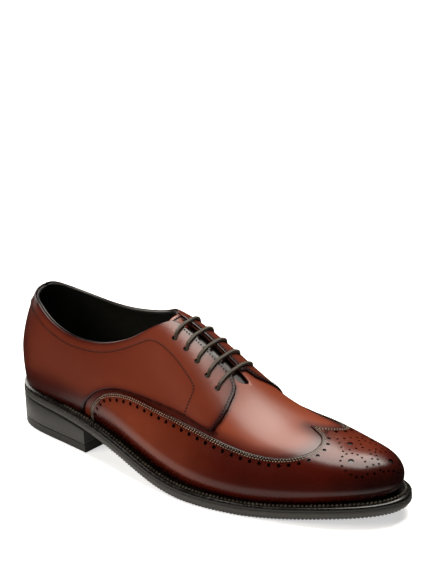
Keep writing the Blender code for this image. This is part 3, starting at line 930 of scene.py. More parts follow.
def start_material(name):
    """A new material, its tree, its shader and its object coordinates."""
    skin = bpy.data.materials.new(name)
    skin.use_nodes = True
    tree = skin.node_tree
    place = add_node(tree, "ShaderNodeTexCoord").outputs["Object"]
    return skin, tree, tree.nodes["Principled BSDF"], place


def add_grain(tree, place, mottle_scale, grain_scale):
    inputs = {"Vector": place, "Mottle Scale": mottle_scale, "Grain Scale": grain_scale}
    node = add_node(tree, "ShaderNodeGroup", inputs, node_tree=grain_group())
    return node.outputs["Mottle"], node.outputs["Height"]


def add_bump(tree, shader, height, strength, distance):
    inputs = {"Strength": strength, "Distance": distance, "Height": height}
    feed(tree, shader.inputs["Normal"], add_node(tree, "ShaderNodeBump", inputs).outputs["Normal"])


def shaded(colour, share):
    return tuple(share * part for part in colour)


def mottled(tree, shader, mottle, tone, shares, roughness):
    """Two shades of a tone that follow the mottling, and roughness that varies with them."""
    low, high = [shaded(tone, share) for share in shares]
    feed(tree, shader.inputs["Roughness"], ramp(tree, mottle, 0.3, 0.7, roughness - 0.05, roughness + 0.07))
    return mix_colours(tree, ramp(tree, mottle, 0.3, 0.7), low, high)


def leather_skin(name, polish=0.0, mirror=1.0):
    """Dyed calf: polish smooths it, and mirror is its share of the full shine."""
    skin, tree, shader, place = start_material(name)
    mottle, height = add_grain(tree, place, 70.0, 2200.0)
    burnish = add_node(tree, "ShaderNodeAttribute", attribute_name="burnish").outputs["Fac"]
    inputs = {"Burnish": burnish, "Mottle": mottle, "Polish": polish}
    for label in ("Light", "Middle", "Deep", "Dark"):
        inputs[label] = (*getattr(colours(), label.lower()), 1.0)
    patina = add_node(tree, "ShaderNodeGroup", inputs, node_tree=patina_group())
    fill(tree, shader, {
        "Base Color": patina.outputs["Color"],
        "Roughness": patina.outputs["Roughness"],
        "Specular IOR Level": 0.42 * mirror,
        "Coat Weight": 0.12 * mirror,
        "Coat Roughness": 0.2,
    })
    add_bump(tree, shader, height, 0.25, 0.00012)
    return skin


def plain_finish(name, tone, shares, roughness, mottle_scale=150.0, grain_scale=1800.0, bump=0.4):
    """A mottled finish with a fine grain, for rubber, lining, sole leather and thread."""
    skin, tree, shader, place = start_material(name)
    mottle, height = add_grain(tree, place, mottle_scale, grain_scale)
    feed(tree, shader.inputs["Base Color"], mottled(tree, shader, mottle, tone, shares, roughness))
    add_bump(tree, shader, height, bump, 0.0002)
    return skin


def layered_heel(name, tone, shares, roughness, lift):
    """Sole leather with faint lines between the lifts."""
    skin, tree, shader, place = start_material(name)
    mottle, height = add_grain(tree, place, 120.0, 1500.0)
    up = add_node(tree, "ShaderNodeSeparateXYZ", {0: place}).outputs["Z"]
    layer = math_node(tree, "FRACT", math_node(tree, "MULTIPLY", up, 1 / (lift * MM)))
    from_middle = math_node(tree, "ABSOLUTE", math_node(tree, "SUBTRACT", layer, 0.5))
    line = ramp(tree, from_middle, 0.43, 0.5)
    base = mottled(tree, shader, mottle, tone, shares, roughness)
    groove = shaded(tone, 0.4 * shares[0])
    base = mix_colours(tree, math_node(tree, "MULTIPLY", line, 0.3), base, groove)
    feed(tree, shader.inputs["Base Color"], base)
    relief = math_node(tree, "SUBTRACT", math_node(tree, "MULTIPLY", height, 0.3), line)
    add_bump(tree, shader, relief, 0.2, 0.00015)
    return skin


def braided_cord(name, tone):
    """Waxed cotton: two sets of strands that cross, laid out on the cord's own map, with painted shade
    where they dip.
    """
    skin, tree, shader, _ = start_material(name)
    cord_map = add_node(tree, "ShaderNodeTexCoord").outputs["UV"]
    where = add_node(tree, "ShaderNodeSeparateXYZ", {0: cord_map}).outputs
    strands = []
    for turns in (3.0, -3.0):
        phase = math_node(tree, "ADD", where["X"], math_node(tree, "MULTIPLY", where["Y"], turns))
        strands.append(math_node(tree, "SINE", math_node(tree, "MULTIPLY", phase, 2 * np.pi)))
    weave = math_node(tree, "MULTIPLY", *strands)
    # Darker where the weave dips: painted shade between the strands.
    base = mix_colours(tree, ramp(tree, weave, -0.8, 0.8), shaded(tone, 0.6), tone)
    feed(tree, shader.inputs["Base Color"], base)
    feed(tree, shader.inputs["Roughness"], ramp(tree, weave, -1.0, 1.0, 0.62, 0.45))
    add_bump(tree, shader, weave, 0.6, 0.0003)
    return skin


# Geometry nodes.

def new_shape_tree(name, inputs):
    inputs = {"Geometry": "Geometry", **inputs, "Material": "Material"}
    return new_tree(name, "GeometryNodeTree", inputs, {"Geometry": "Geometry"})


def on_points(tree, points, shape):
    """Turns a shape by each point's own direction and sizes it by the point's own size."""
    turn = add_node(tree, "GeometryNodeInputNamedAttribute", {"Name": "turn"}, data_type="FLOAT_VECTOR")
    size = add_node(tree, "GeometryNodeInputNamedAttribute", {"Name": "size"}, data_type="FLOAT")
    aim = add_node(tree, "FunctionNodeEulerToRotation", {0: turn.outputs["Attribute"]})
    place = add_node(tree, "GeometryNodeInstanceOnPoints", {
        "Points": points,
        "Instance": shape,
        "Rotation": aim.outputs[0],
        "Scale": size.outputs["Attribute"],
    })
    return add_node(tree, "GeometryNodeRealizeInstances", {0: place.outputs[0]}).outputs[0]


def end_with_material(tree, shape, given, made):
    paint = add_node(tree, "GeometryNodeSetMaterial", {"Geometry": shape, "Material": given["Material"]})
    feed(tree, made["Geometry"], paint.outputs[0])
    return tree


@built_once("stitches")
def stitch_tree(name):
    """A plump thread lying along each point's direction."""
    tree, given, made = new_shape_tree(name, {"Length": "Float", "Thickness": "Float"})
    ball = add_node(tree, "GeometryNodeMeshUVSphere", {"Segments": 6, "Rings": 4, "Radius": 0.5})
    sides = {0: given["Length"], 1: given["Thickness"], 2: given["Thickness"]}
    stretch = add_node(tree, "ShaderNodeCombineXYZ", sides)
    thread = {"Geometry": ball.outputs["Mesh"], "Scale": stretch.outputs[0]}
    shape = add_node(tree, "GeometryNodeTransform", thread)
    return end_with_material(tree, on_points(tree, given["Geometry"], shape.outputs[0]), given, made)


@built_once("studs")
def stud_tree(name):
    """A short round stud standing on each point."""
    tree, given, made = new_shape_tree(name, {"Radius": "Float", "Height": "Float"})
    stud = add_node(tree, "GeometryNodeMeshCylinder", {
        "Vertices": 8, "Radius": given["Radius"], "Depth": given["Height"],
    })
    return end_with_material(tree, on_points(tree, given["Geometry"], stud.outputs["Mesh"]), given, made)


@built_once("punched_holes")
def punch_tree(name):
    """Round holes of each point's size, cut through a sheet."""
    tree, given, made = new_shape_tree(name, {"Holes": "Object", "Punch Length": "Float"})
    where = add_node(tree, "GeometryNodeObjectInfo", {"Object": given["Holes"]})
    punches = add_node(tree, "GeometryNodeMeshCylinder", {
        "Vertices": 16, "Radius": 0.5, "Depth": given["Punch Length"],
    })
    cutters = on_points(tree, where.outputs["Geometry"], punches.outputs["Mesh"])
    left = add_node(
        tree, "GeometryNodeMeshBoolean", {"Mesh 1": given["Geometry"], "Mesh 2": cutters},
        operation="DIFFERENCE", solver="MANIFOLD")
    return end_with_material(tree, left.outputs["Mesh"], given, made)


def run_tree(piece, tree, values):
    """Runs a tree on a piece and keeps the result as its plain mesh."""
    made = piece.modifiers.new(tree.name, "NODES")
    made.node_group = tree
    for item in tree.interface.items_tree:
        if item.in_out == "INPUT" and item.name in values:
            made[item.identifier] = values[item.name]
    bpy.context.view_layer.update()
    graph = bpy.context.evaluated_depsgraph_get()
    mesh = bpy.data.meshes.new_from_object(piece.evaluated_get(graph), depsgraph=graph)
    piece.modifiers.clear()
    piece.data = mesh


def point_cloud(name, points, along, out, sizes):
    """Loose points with their own turn and size, for a tree to stand shapes on."""
    piece = add_object(name, points, [], [])
    turns = []
    for x_axis, z_axis in zip(along, out):
        y_axis = np.cross(z_axis, x_axis)
        turns.extend(Matrix((x_axis, y_axis, z_axis)).transposed().to_euler())
    layer = piece.data.attributes.new("turn", "FLOAT_VECTOR", "POINT")
    layer.data.foreach_set("vector", np.asarray(turns, np.float32))
    set_values(piece, "size", np.broadcast_to(sizes, len(points)))
    return piece


def rows_cloud(name, rows, depth):
    """Points of several stitch rows, each row already at its stitches' spacing."""
    parts = [line_frames(row, depth)[:3] for row in rows]
    return point_cloud(name, *(np.concatenate(group) for group in zip(*parts)), 1.0)


def punch(piece, line, widths, skin):
    """Cuts holes of the given widths, in metres, through a sheet at places on the last."""
    points, _, out = line_frames(line)[:3]
    along = unit(np.cross(np.tile((0.3, 0.5, 0.8), (len(out), 1)), out))
    holes = point_cloud(piece.name + "_holes", points, along, out, widths)
    length = PUNCH_REACH * MM / np.mean(widths)
    run_tree(piece, punch_tree(), {"Holes": holes, "Punch Length": length, "Material": skin})
    bpy.data.objects.remove(holes, do_unlink=True)


# Panels of the upper.

def sheet_patch(stations, low, high, side, shares):
    """Stations and signed levels of a patch between two edges given as levels."""
    from_share = share_at(stations, low, side)
    to_share = share_at(stations, high, side)
    rows = from_share + (to_share - from_share) * shares[:, None]
    return np.broadcast_to(stations, rows.shape), level_at(stations, rows, side) * side


def upper_patches():
    throat = THROAT_FRONT_X - THROAT_ROUND * (1 - np.sin(np.linspace(0, np.pi / 2, 15)))
    stations = np.unique(np.r_[even_stations(HEEL_X, TOE_X), throat])
    shares = row_shares(56, False, True)
    patches = []
    for side in (-1, 1):
        top = top_level(stations, side)
        patches.append(sheet_patch(stations, FEATHER_LEVEL + 0 * top, top, side, shares))
    return patches


def quarter_patch(side):
    seam = station_of(BACK_SEAM_ANGLE)
    stations = np.unique(np.r_[even_stations(seam, QUARTER_FRONT_X), QUARTER_FRONT_X - EDGE_COLUMNS,
                               seam + 0.02 * EDGE_COLUMNS])
    low = np.interp(stations, *QUARTER_CURVE.T)
    low = np.where(stations < QUARTER_LOW[0][0], FEATHER_LEVEL, low)
    high = top_level(np.minimum(stations, THROAT_FRONT_X - THROAT_ROUND), side) + edge_step(stations)
    stations_grid, levels = sheet_patch(stations, low, high, side, row_shares(50, True, True))
    front = np.interp(np.abs(levels), column(FACING_FRONT, 0), column(FACING_FRONT, 1))
    shear = np.clip((stations - FACING_SHEAR_FROM_X) / (QUARTER_FRONT_X - FACING_SHEAR_FROM_X), 0, 1)
    return stations_grid + shear * (front - QUARTER_FRONT_X), levels


def wing_columns():
    """Stations that both wings share, to meet along the ridge, close together round both notches."""
    notches = sorted(curve[-1, 0] for curve in WING_CURVE.values())
    stations = [station_of(SIDE_ANGLES)]
    for side, curve in WING_CURVE.items():
        stations.append(station_of(spread(curve_line(curve[-90:], side), 1.2)[:, 0]))
    columns = [WING_TAIL[0][0]]
    for station in np.sort(np.concatenate(stations)):
        free = min(abs(station - notch) for notch in notches) > COLUMN_GAP
        if free and columns[-1] + COLUMN_GAP < station < TOE_X - COLUMN_GAP:
            columns.append(station)
    return np.sort(np.r_[columns, notches, TOE_X])


def wing_patches(side):
    columns = wing_columns()
    curve, peak_curve = WING_CURVE[side], PEAK_CURVE[side]
    notch_x, notch_level = curve[-1]
    edge_x = columns[columns <= notch_x]
    toe_x = columns[columns >= notch_x]
    edge = np.interp(edge_x, *curve.T)
    peak_x = np.r_[PEAK_X, edge_x[edge_x > PEAK_X + 0.3]]
    peak = np.interp(peak_x, *peak_curve.T)
    low_shares = row_shares(44, False, True)
    high_shares = row_shares(14, True, False)
    toe_notch = notch_level + (TOE_SPLIT_LEVEL - notch_level) * smooth_step(notch_x, TOE_X, toe_x)
    return [
        sheet_patch(edge_x, FEATHER_LEVEL + 0 * edge, edge, side, low_shares),
        sheet_patch(toe_x, FEATHER_LEVEL + 0 * toe_x, toe_notch, side, low_shares),
        sheet_patch(toe_x, toe_notch, 0 * toe_x, side, high_shares),
        sheet_patch(peak_x, peak, 0 * peak, side, high_shares),
    ]


def length_property(name, description, default):
    return FloatProperty(name=name, description=description, default=default, min=0.0, unit="LENGTH")


def colour_property(name, description, default):
    return FloatVectorProperty(
        name=name, description=description, default=default, size=3, min=0.0, max=1.0, subtype="COLOR")


class DerbySizes(bpy.types.PropertyGroup):
    """Sizes that a user would change."""

    stitch_pitch: length_property("Stitch pitch", "Step of the fine stitches", 0.0018)
    thread: length_property("Thread", "Thickness of the fine thread", 0.0009)
    welt_pitch: length_property("Welt stitch pitch", "Step of the welt's stitches", 0.0028)
    welt_thread: length_property("Welt thread", "Thickness of the welt's thread", 0.0020)
    hole: length_property("Hole", "Holes along the wing's edge", 0.0026)
    hole_pitch: length_property("Hole pitch", "Step of the holes along the wing", 0.0067)
    small_hole: length_property("Small hole", "Small holes of the medallion", 0.0017)
    big_hole: length_property("Big hole", "Big holes of the medallion", 0.0040)
    eyelet: length_property("Eyelet", "Punched lace holes", 0.0040)
    lace: length_property("Lace", "Thickness of the lace", 0.0026)
    edge_round: length_property("Edge round", "Rounding of the leather's cut edges", 0.0007)
    stud: length_property("Stud", "Radius of the sole's studs", 0.0016)


class DerbyColours(bpy.types.PropertyGroup):
    """Colours that a user would change."""

    light: colour_property("Light leather", "Leather with little dye", (0.200, 0.035, 0.0105))
    middle: colour_property("Middle leather", "The leather's main tone", (0.118, 0.0180, 0.0062))
    # The deep and dark tones also paint shade along and under the overlays and in the throat.
    deep: colour_property("Deep leather", "Leather with much dye", (0.046, 0.0036, 0.0012))
    dark: colour_property("Burnished leather", "Leather at toe, heel and edges", (0.0060, 0.0008, 0.0006))
    lining: colour_property("Lining", "Leather inside the shoe", (0.010, 0.010, 0.008))
    thread: colour_property("Thread", "Thread of the wing's seams", (0.270, 0.230, 0.170))
    dark_thread: colour_property("Dark thread", "Thread of the quarters", (0.005, 0.004, 0.003))
    lace: colour_property("Lace", "Waxed lace", (0.066, 0.049, 0.031))
    welt: colour_property("Welt", "Welt leather", (0.0075, 0.0060, 0.0045))
    sole: colour_property("Sole", "Rubber of the outsole", (0.0420, 0.0390, 0.0350))
    heel: colour_property("Heel", "Stacked heel", (0.036, 0.0345, 0.0320))


def sizes():
    return bpy.context.scene.derby_sizes


def colours():
    return bpy.context.scene.derby_colours


class DERBY_OT_upper(bpy.types.Operator):
    """Add the upper: the vamp's leather, the lining and the dark collar rim"""

    bl_idname = "derby.upper"
    bl_label = "Upper"

    def execute(self, context):
        sheet = Leather(upper_patches(), (UPPER_OUT, UPPER_IN), UPPER_ROUND)
        lining = plain_finish("lining", colours().lining, (0.7, 1.0), 0.5)
        piece = sheet.build("upper_leather", [leather_skin("vamp_leather", polish=-0.06), lining])
        points = on_last(sheet.station, sheet.level)
        wing = distances(points, points_on(wing_line(-1), wing_line(1)))
        low_edges = [curve_line(QUARTER_CURVE, side) for side in (-1, 1)]
        quarter = distances(points, points_on(facing_line(-1), facing_line(1), *low_edges))
        # The vamp darkens along the overlays' edges: painted shade, partly dye, and a thin painted shadow
        # by the quarters.
        burnish = VAMP_DYE + fading(VAMP_SHADE_BY_WING, wing) + fading(VAMP_SHADOW_BY_QUARTER, quarter)
        burnish += rising(VAMP_TO_TOE, sheet.station)
        # Under the overlays the upper is painted near black, as painted shade seen through the holes.
        hidden = self.covered(sheet) & (np.minimum(wing, quarter) > COVERED_FROM)
        sheet.paint(piece, np.where(hidden, COVERED_SHADE, burnish))
        hand_over(piece, ["upper"])
        return {"FINISHED"}

    def covered(self, sheet):
        """Where the wing or a quarter lies over the upper."""
        height = np.abs(sheet.level)
        outer = sheet.level < 0
        wing_top = np.where(outer, *(
            np.interp(sheet.station, *WING_CURVE[side].T, left=3.0, right=0.0) for side in (-1, 1)))
        peak = np.where(outer, *(
            np.interp(sheet.station, *PEAK_CURVE[side].T, left=-1.0) for side in (-1, 1)))
        quarter_low = np.interp(sheet.station, *QUARTER_CURVE.T, left=3.0)
        front = np.interp(height, column(FACING_FRONT, 0), column(FACING_FRONT, 1))
        under_quarter = (height < quarter_low) & (sheet.station < front)
        return (height > wing_top) | (height < peak) | under_quarter


class DERBY_OT_wing(bpy.types.Operator):
    """Add the wing cap with its row of holes and the toe medallion"""

    bl_idname = "derby.wing"
    bl_label = "Wing cap"

    def execute(self, context):
        size = sizes()
        rounding = size.edge_round / MM
        sheet = Leather(wing_patches(-1) + wing_patches(1), (OVERLAY_OUT, OVERLAY_IN), rounding)
        skin = leather_skin("wing_leather", polish=0.06, mirror=0.72)
        piece = sheet.build("wing_cap_leather", [skin])
        rows = [inside_edge(wing_line(side), HOLE_ROW_INSET, side) for side in (-1, 1)]
        edge_holes = np.concatenate([spread(row, size.hole_pitch / MM)[1:] for row in rows])
        small, big = [place_on_plan(places) for places in medallion_places()]
        groups = (edge_holes, size.hole), (small, size.small_hole), (big, size.big_hole)
        widths = np.concatenate([np.full(len(holes), width) for holes, width in groups])
        punch(piece, np.concatenate([holes for holes, _ in groups]), widths, skin)
        x = on_last(sheet.station, sheet.level)[:, 0]
        height = np.abs(sheet.level)
        side_dye = WING_SIDE_DYE + rising(WING_SIDE_TO_TOE, x)
        top_dye = WING_TOP_DYE + rising(WING_TOP_TO_TIP, x)
        burnish = top_dye + (side_dye - top_dye) * smooth_step(*WING_TOP_LEVELS, height)
        burnish += rising(TOE_SIDE_DYE, x) * smooth_step(*TOE_SIDE_LEVELS, height)
        burnish += rising(TAIL_DYE, x) * smooth_step(*TAIL_LEVELS, height)
        burnish = np.maximum(burnish, rising(WING_FEATHER, height))
        burnish += np.maximum(WING_EDGE_LIMIT - burnish, 0.0) * fading(WING_EDGE_BAND, sheet.edge)
        burnish += fading(WING_EDGE_LINE, sheet.edge)
        sheet.paint(piece, np.minimum(burnish, 1.0))
        hand_over(piece, ["wing_cap"])
        return {"FINISHED"}


class DERBY_OT_quarters(bpy.types.Operator):
    """Add both quarters with their facings and punched eyelets"""

    bl_idname = "derby.quarters"
    bl_label = "Quarters"

    def execute(self, context):
        size = sizes()
        skin = leather_skin("quarter_leather", polish=-0.03)
        for side, node in ((-1, "quarter_lateral"), (1, "quarter_medial")):
            sheet = Leather([quarter_patch(side)], (OVERLAY_OUT, OVERLAY_IN), size.edge_round / MM)
            piece = sheet.build(node + "_leather", [skin])
            stations = column(EYELETS, 0 if side < 0 else 1)
            holes = chart_line(stations, column(EYELETS, 2), side)
            punch(piece, holes, np.full(len(holes), size.eyelet), skin)
            place = on_last(sheet.station, sheet.level)
            facing = distances(place, points_on(facing_line(side)))
            collar = distances(place, points_on(collar_line(side)))
            x = place[:, 0]
            burnish = QUARTER_DYE + rising(QUARTER_TO_BACK, x) + rising(QUARTER_TO_FRONT, x)
            feather = QUARTER_DYE + rising(QUARTER_FEATHER, np.abs(sheet.level))
            burnish = np.maximum(burnish, feather) + fading(QUARTER_BY_COLLAR, collar)
            burnish += fading(QUARTER_EDGE_LINE, sheet.edge) + fading(QUARTER_BY_FACING, facing)
            sheet.paint(piece, np.minimum(burnish, 1.0))
            hand_over(piece, [node])
        return {"FINISHED"}


class DERBY_OT_tongue(bpy.types.Operator):
    """Add the tongue under the facings"""

    bl_idname = "derby.tongue"
    bl_label = "Tongue"

    def execute(self, context):
        shares = row_shares(40, True, True)
        across = TONGUE_LEVEL * (2 * shares[:, None] - 1)
        start, end = TONGUE_X
        corner = TONGUE_CORNER * np.abs(across / TONGUE_LEVEL) ** 3
        stations = start + corner + (end - start - corner) * row_shares(40, True, True)
        patch = (stations, np.broadcast_to(across, stations.shape))
        sheet = Leather([patch], (TONGUE_OUT, TONGUE_IN), TONGUE_ROUND)
        lift = TONGUE_LIFT * smooth_step(TONGUE_LIFT_TO_X, start, sheet.station)
        lift *= 1 - smooth_step(*TONGUE_LIFT_LEVELS, np.abs(sheet.level))
        flat = on_last(sheet.station, sheet.level)
        sheet.points += np.tile(on_last(sheet.station, sheet.level, lift) - flat, (2, 1))
        piece = sheet.build("tongue_leather", [leather_skin("tongue_red")])
        # Near black in the throat: painted shade on the tongue.
        sheet.paint(piece, TONGUE_DYE + rising(TONGUE_SHADE_IN_THROAT, sheet.station))
        hand_over(piece, ["tongue"])
        return {"FINISHED"}


class DERBY_OT_lace(bpy.types.Operator):
    """Add the lace: five bars that dip into their eyelets"""

    bl_idname = "derby.lace"
    bl_label = "Lace"

    # Millimetres over the facings, under the upper's wall, of the dip at each end and of the sag.
    clear = 0.1
    tucked = 0.3
    dip = 4.0
    sag = 0.9
    sag_level = 0.1
    braid_step = 2.2

    def execute(self, context):
        radius = sizes().lace / 2 / MM
        over = OVERLAY_OUT + self.clear + radius
        under = UPPER_IN + radius - self.tucked
        skin = braided_cord("lace_cord", colours().lace)
        for number, (outer_x, inner_x, level) in enumerate(EYELETS, 1):
            share = np.linspace(0, 1, 61)
            stations = outer_x + (inner_x - outer_x) * share
            levels = level * (2 * share - 1)
            length = run_length(on_last(stations, levels, over))
            from_end = np.minimum(length, length[-1] - length)
            depth = under + (over - under) * smooth_step(0.0, self.dip, from_end) ** 0.7
            path = on_last(stations, levels, depth - self.sag * near(levels, self.sag_level))
            piece = self.add_cord(f"lace_{number}", path, radius, skin)
            hand_over(piece, [f"lace_bar_{number}"])
        return {"FINISHED"}

    def add_cord(self, name, path, radius, skin, around=16):
        """A round cord along a path, with a map that counts braid steps along it and turns round it."""
        along = unit(np.gradient(path, axis=0))
        side = unit(np.cross(along, (1.0, 0.0, 0.0)))
        up = np.cross(side, along)
        turn = np.linspace(0, 2 * np.pi, around, endpoint=False)[:, None]
        rings = path[:, None] + radius * (np.cos(turn) * side[:, None] + np.sin(turn) * up[:, None])
        faces = grid_faces(len(path), around, wrap=True)
        faces += [tuple(range(around)), tuple(range(len(path) * around - around, len(path) * around))]
        piece = add_object(name, rings.reshape(-1, 3), faces, [skin])
        turn_outwards(piece)
        length = run_length(path)
        layer = piece.data.uv_layers.new(name="cord")
        for loop in piece.data.loops:
            ring, spoke = divmod(loop.vertex_index, around)
            layer.data[loop.index].uv = (length[ring] / self.braid_step, spoke / around)
        return piece


def raised(plan, heights):
    return np.concatenate([plan, np.broadcast_to(heights, plan.shape[:1])[:, None]], -1)


def sole_loops(profile):
    """Outlines moved in from the sole's edge and up from its underside, as the profile says."""
    plans = [sole_edge(LOOP_ANGLES, LOOP_SIDES, inset) for inset, _ in profile]
    return [raised(plan, bottom(plan[:, 0]) + up) for plan, (_, up) in zip(plans, profile)]


def add_slab(name, loops, skin, pointed):
    """A solid through stacked outlines, capped by strips across it. A pointed outline starts at its tip."""
    loops = np.asarray(loops)
    rows, columns = loops.shape[:2]
    faces = grid_faces(rows, columns, wrap=True)
    partner = [(columns - j) % columns if pointed else columns - 1 - j for j in range(columns)]
    for start in (0, (rows - 1) * columns):
        for j in range(columns // 2):
            corners = [start + k for k in (j, j + 1, partner[j + 1], partner[j])]
            face = list(dict.fromkeys(corners))
            if len(face) > 2:
                faces.append(face)
    piece = add_object(name, loops.reshape(-1, 3), faces, [skin])
    turn_outwards(piece)
    return piece


class DERBY_OT_sole(bpy.types.Operator):
    """Add the outsole with its studded tread, and the welt"""

    bl_idname = "derby.sole"
    bl_label = "Sole"

    # How far inside the sole's edge, and how far above its underside, the edge's profile turns.
    outsole_profile = (
        (1.6, TREAD_DEEP), (1.0, TREAD_DEEP), (0.85, TREAD_DEEP + 0.2), (0.85, OUTSOLE_LIP - 0.15),
        (0.5, OUTSOLE_LIP), (0.12, OUTSOLE_LIP + 0.15), (0.0, OUTSOLE_LIP + 0.5),
        (0.0, OUTSOLE_THICK - 0.5), (0.12, OUTSOLE_THICK - 0.15), (0.5, OUTSOLE_THICK),
    )
    welt_low = OUTSOLE_THICK
    welt_top = welt_low + GAP + WELT_THICK
    welt_profile = (
        (0.5, welt_low), (0.28, welt_low + 0.12), (0.2, welt_low + 0.4), (0.2, welt_top - 1.3),
        (0.28, welt_top - 1.0), (0.55, welt_top - 0.72), (1.0, welt_top - 0.45), (1.5, welt_top - 0.2),
        (2.0, welt_top - 0.05), (2.5, welt_top), (3.4, welt_top - 0.1),
    )

    # Teeth round the lower edge and studs across the forefoot, in millimetres.
    tooth_inset = 2.3
    tooth_step = 2.6
    tooth_radius = 0.95
    stud_height = 0.98 * TREAD_DEEP
    stud_inset = 6.5
    stud_step = 5.6
    stud_x = (150.0, 300.0)
    stud_y = (-48.0, 52.0)

    def execute(self, context):
        rubber = plain_finish("sole_rubber", colours().sole, (0.85, 1.0), 0.38, bump=0.15)
        outsole = add_slab("outsole_rubber", sole_loops(self.outsole_profile), rubber, pointed=True)
        hand_over(outsole, ["outsole"])
        self.add_tread(rubber)
        self.add_welt()
        return {"FINISHED"}

    def add_tread(self, rubber):
        """Small teeth round the lower edge, and rounder studs across the forefoot."""
        edge_angles = np.arccos(np.linspace(1, -1, 700))
        teeth = []
        for side in (-1, 1):
            plan = sole_edge(edge_angles, side, self.tooth_inset)
            length = run_length(plan)
            plan = resample(plan, length, np.arange(2.0, length[-1], self.tooth_step))
            teeth.append(plan[plan[:, 0] > HEEL_BREAST_X + 6])
        studs = self.stud_places(edge_angles)
        slope_x = np.arange(0, 310.0)
        slope = np.gradient(BOTTOM_CURVE(slope_x))
        for name, places, radius in (
            ("tread_teeth", np.concatenate(teeth), self.tooth_radius),
            ("tread_studs", studs, sizes().stud / MM),
        ):
            points = raised(places, bottom(places[:, 0]) + TREAD_DEEP / 2)
            pitch = np.interp(places[:, 0], slope_x, slope) * (bottom(places[:, 0]) > 0)
            along = unit(np.stack([np.ones(len(places)), 0 * pitch, pitch], -1))
            out = np.cross(along, np.tile((0.0, 1.0, 0.0), (len(places), 1)))
            piece = point_cloud(name, points, along, out, 1.0)
            run_tree(piece, stud_tree(), {
                "Radius": radius * MM, "Height": self.stud_height * MM, "Material": rubber})
            hand_over(piece)

    def stud_places(self, edge_angles):
        """Staggered rows across the forefoot, inside the sole's edge."""
        rows = np.arange(*self.stud_x, self.stud_step)
        grid_x, grid_y = np.meshgrid(rows, np.arange(*self.stud_y, self.stud_step), indexing="ij")
        grid_y = grid_y + np.where(np.arange(len(grid_x)) % 2, self.stud_step / 2, 0.0)[:, None]
        inside = grid_x < 0
        for side in (-1, 1):
            outline = sole_edge(edge_angles, side, self.stud_inset)
            reach = np.interp(grid_x, *outline.T, left=0, right=0)
            inside |= ((grid_y - RIDGE_Y(grid_x)) * side >= 0) & (grid_y * side <= reach * side)
        return np.stack([grid_x[inside], grid_y[inside]], -1)

    def add_welt(self):
        skin = plain_finish("welt_leather", colours().welt, (0.5, 1.0), 0.24, mottle_scale=300.0, bump=0.2)
        loops = sole_loops(self.welt_profile)
        inner = on_last(LOOP_X, LOOP_SIDES * FEATHER_LEVEL, WELT_IN)[:, :2]
        for up in (self.welt_top, self.welt_low):
            loops.append(raised(inner, bottom(inner[:, 0]) + up))
        loops = np.asarray(loops)
        rows, columns = loops.shape[:2]
        faces = [
            tuple(i % (rows * columns) for i in face) for face in grid_faces(rows + 1, columns, wrap=True)
        ]
        piece = add_object("welt_ring", loops.reshape(-1, 3), faces, [skin])
        turn_outwards(piece)
        hand_over(piece, ["welt"])


class DERBY_OT_heel(bpy.types.Operator):
    """Add the stacked heel and its rubber top piece"""

    bl_idname = "derby.heel"
    bl_label = "Heel"

    # How far inside the sole's edge, and share of the height, for the stack and the top piece.
    stack_profile = (
        (1.2, 0.0), (0.95, 0.02), (0.9, 0.06), (0.6, 0.5), (0.3, 0.95), (0.35, 0.98), (0.6, 1.0),
    )
    lift_profile = ((1.9, 0.0), (1.4, 0.06), (1.3, 0.14), (1.0, 0.9), (1.05, 0.96), (1.3, 1.0))
    lift_thick = 4.6

    def execute(self, context):
        stack_skin = layered_heel("heel_stack_leather", colours().heel, (0.85, 1.0), 0.36, self.lift_thick)
        lift_skin = plain_finish("heel_rubber", colours().sole, (0.4, 0.55), 0.45, bump=0.2)
        low = HEEL_TOP_PIECE + GAP
        stack = []
        for inset, share in self.stack_profile:
            plan = self.outline(inset)
            high = bottom(plan[:, 0]) - GAP
            stack.append(raised(plan, low + (high - low) * share))
        piece = add_slab("heel_stack_block", stack, stack_skin, pointed=False)
        hand_over(piece, ["heel_stack"])
        lift = [raised(self.outline(inset), HEEL_TOP_PIECE * share) for inset, share in self.lift_profile]
        piece = add_slab("heel_top_lift", lift, lift_skin, pointed=False)
        hand_over(piece, ["heel_top_piece"])
        return {"FINISHED"}

    def outline(self, inset):
        """From the outer end of the breast round the back to its inner end."""
        ends = []
        for side in (-1, 1):
            angles = np.linspace(0.0, np.pi / 2, 400)
            ends.append(np.interp(HEEL_BREAST_X, sole_edge(angles, side)[:, 0], angles))
        outer = ends[0] * np.sin(np.linspace(1, 0, 70) * np.pi / 2)
        inner = ends[1] * np.sin(np.linspace(0, 1, 70)[1:] * np.pi / 2)
        plan = np.concatenate([sole_edge(outer, -1, inset), sole_edge(inner, 1, inset)])
        plan[[0, -1], 0] = HEEL_BREAST_X
        return plan


class DERBY_OT_insole(bpy.types.Operator):
    """Give the insole's solid its leather finish"""

    bl_idname = "derby.insole"
    bl_label = "Insole"

    def execute(self, context):
        skin = plain_finish("insole_leather", colours().lining, (0.8, 1.6), 0.5, mottle_scale=90.0)
        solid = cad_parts["insole"]
        solid.data.materials.clear()
        solid.data.materials.append(skin)
        return {"FINISHED"}


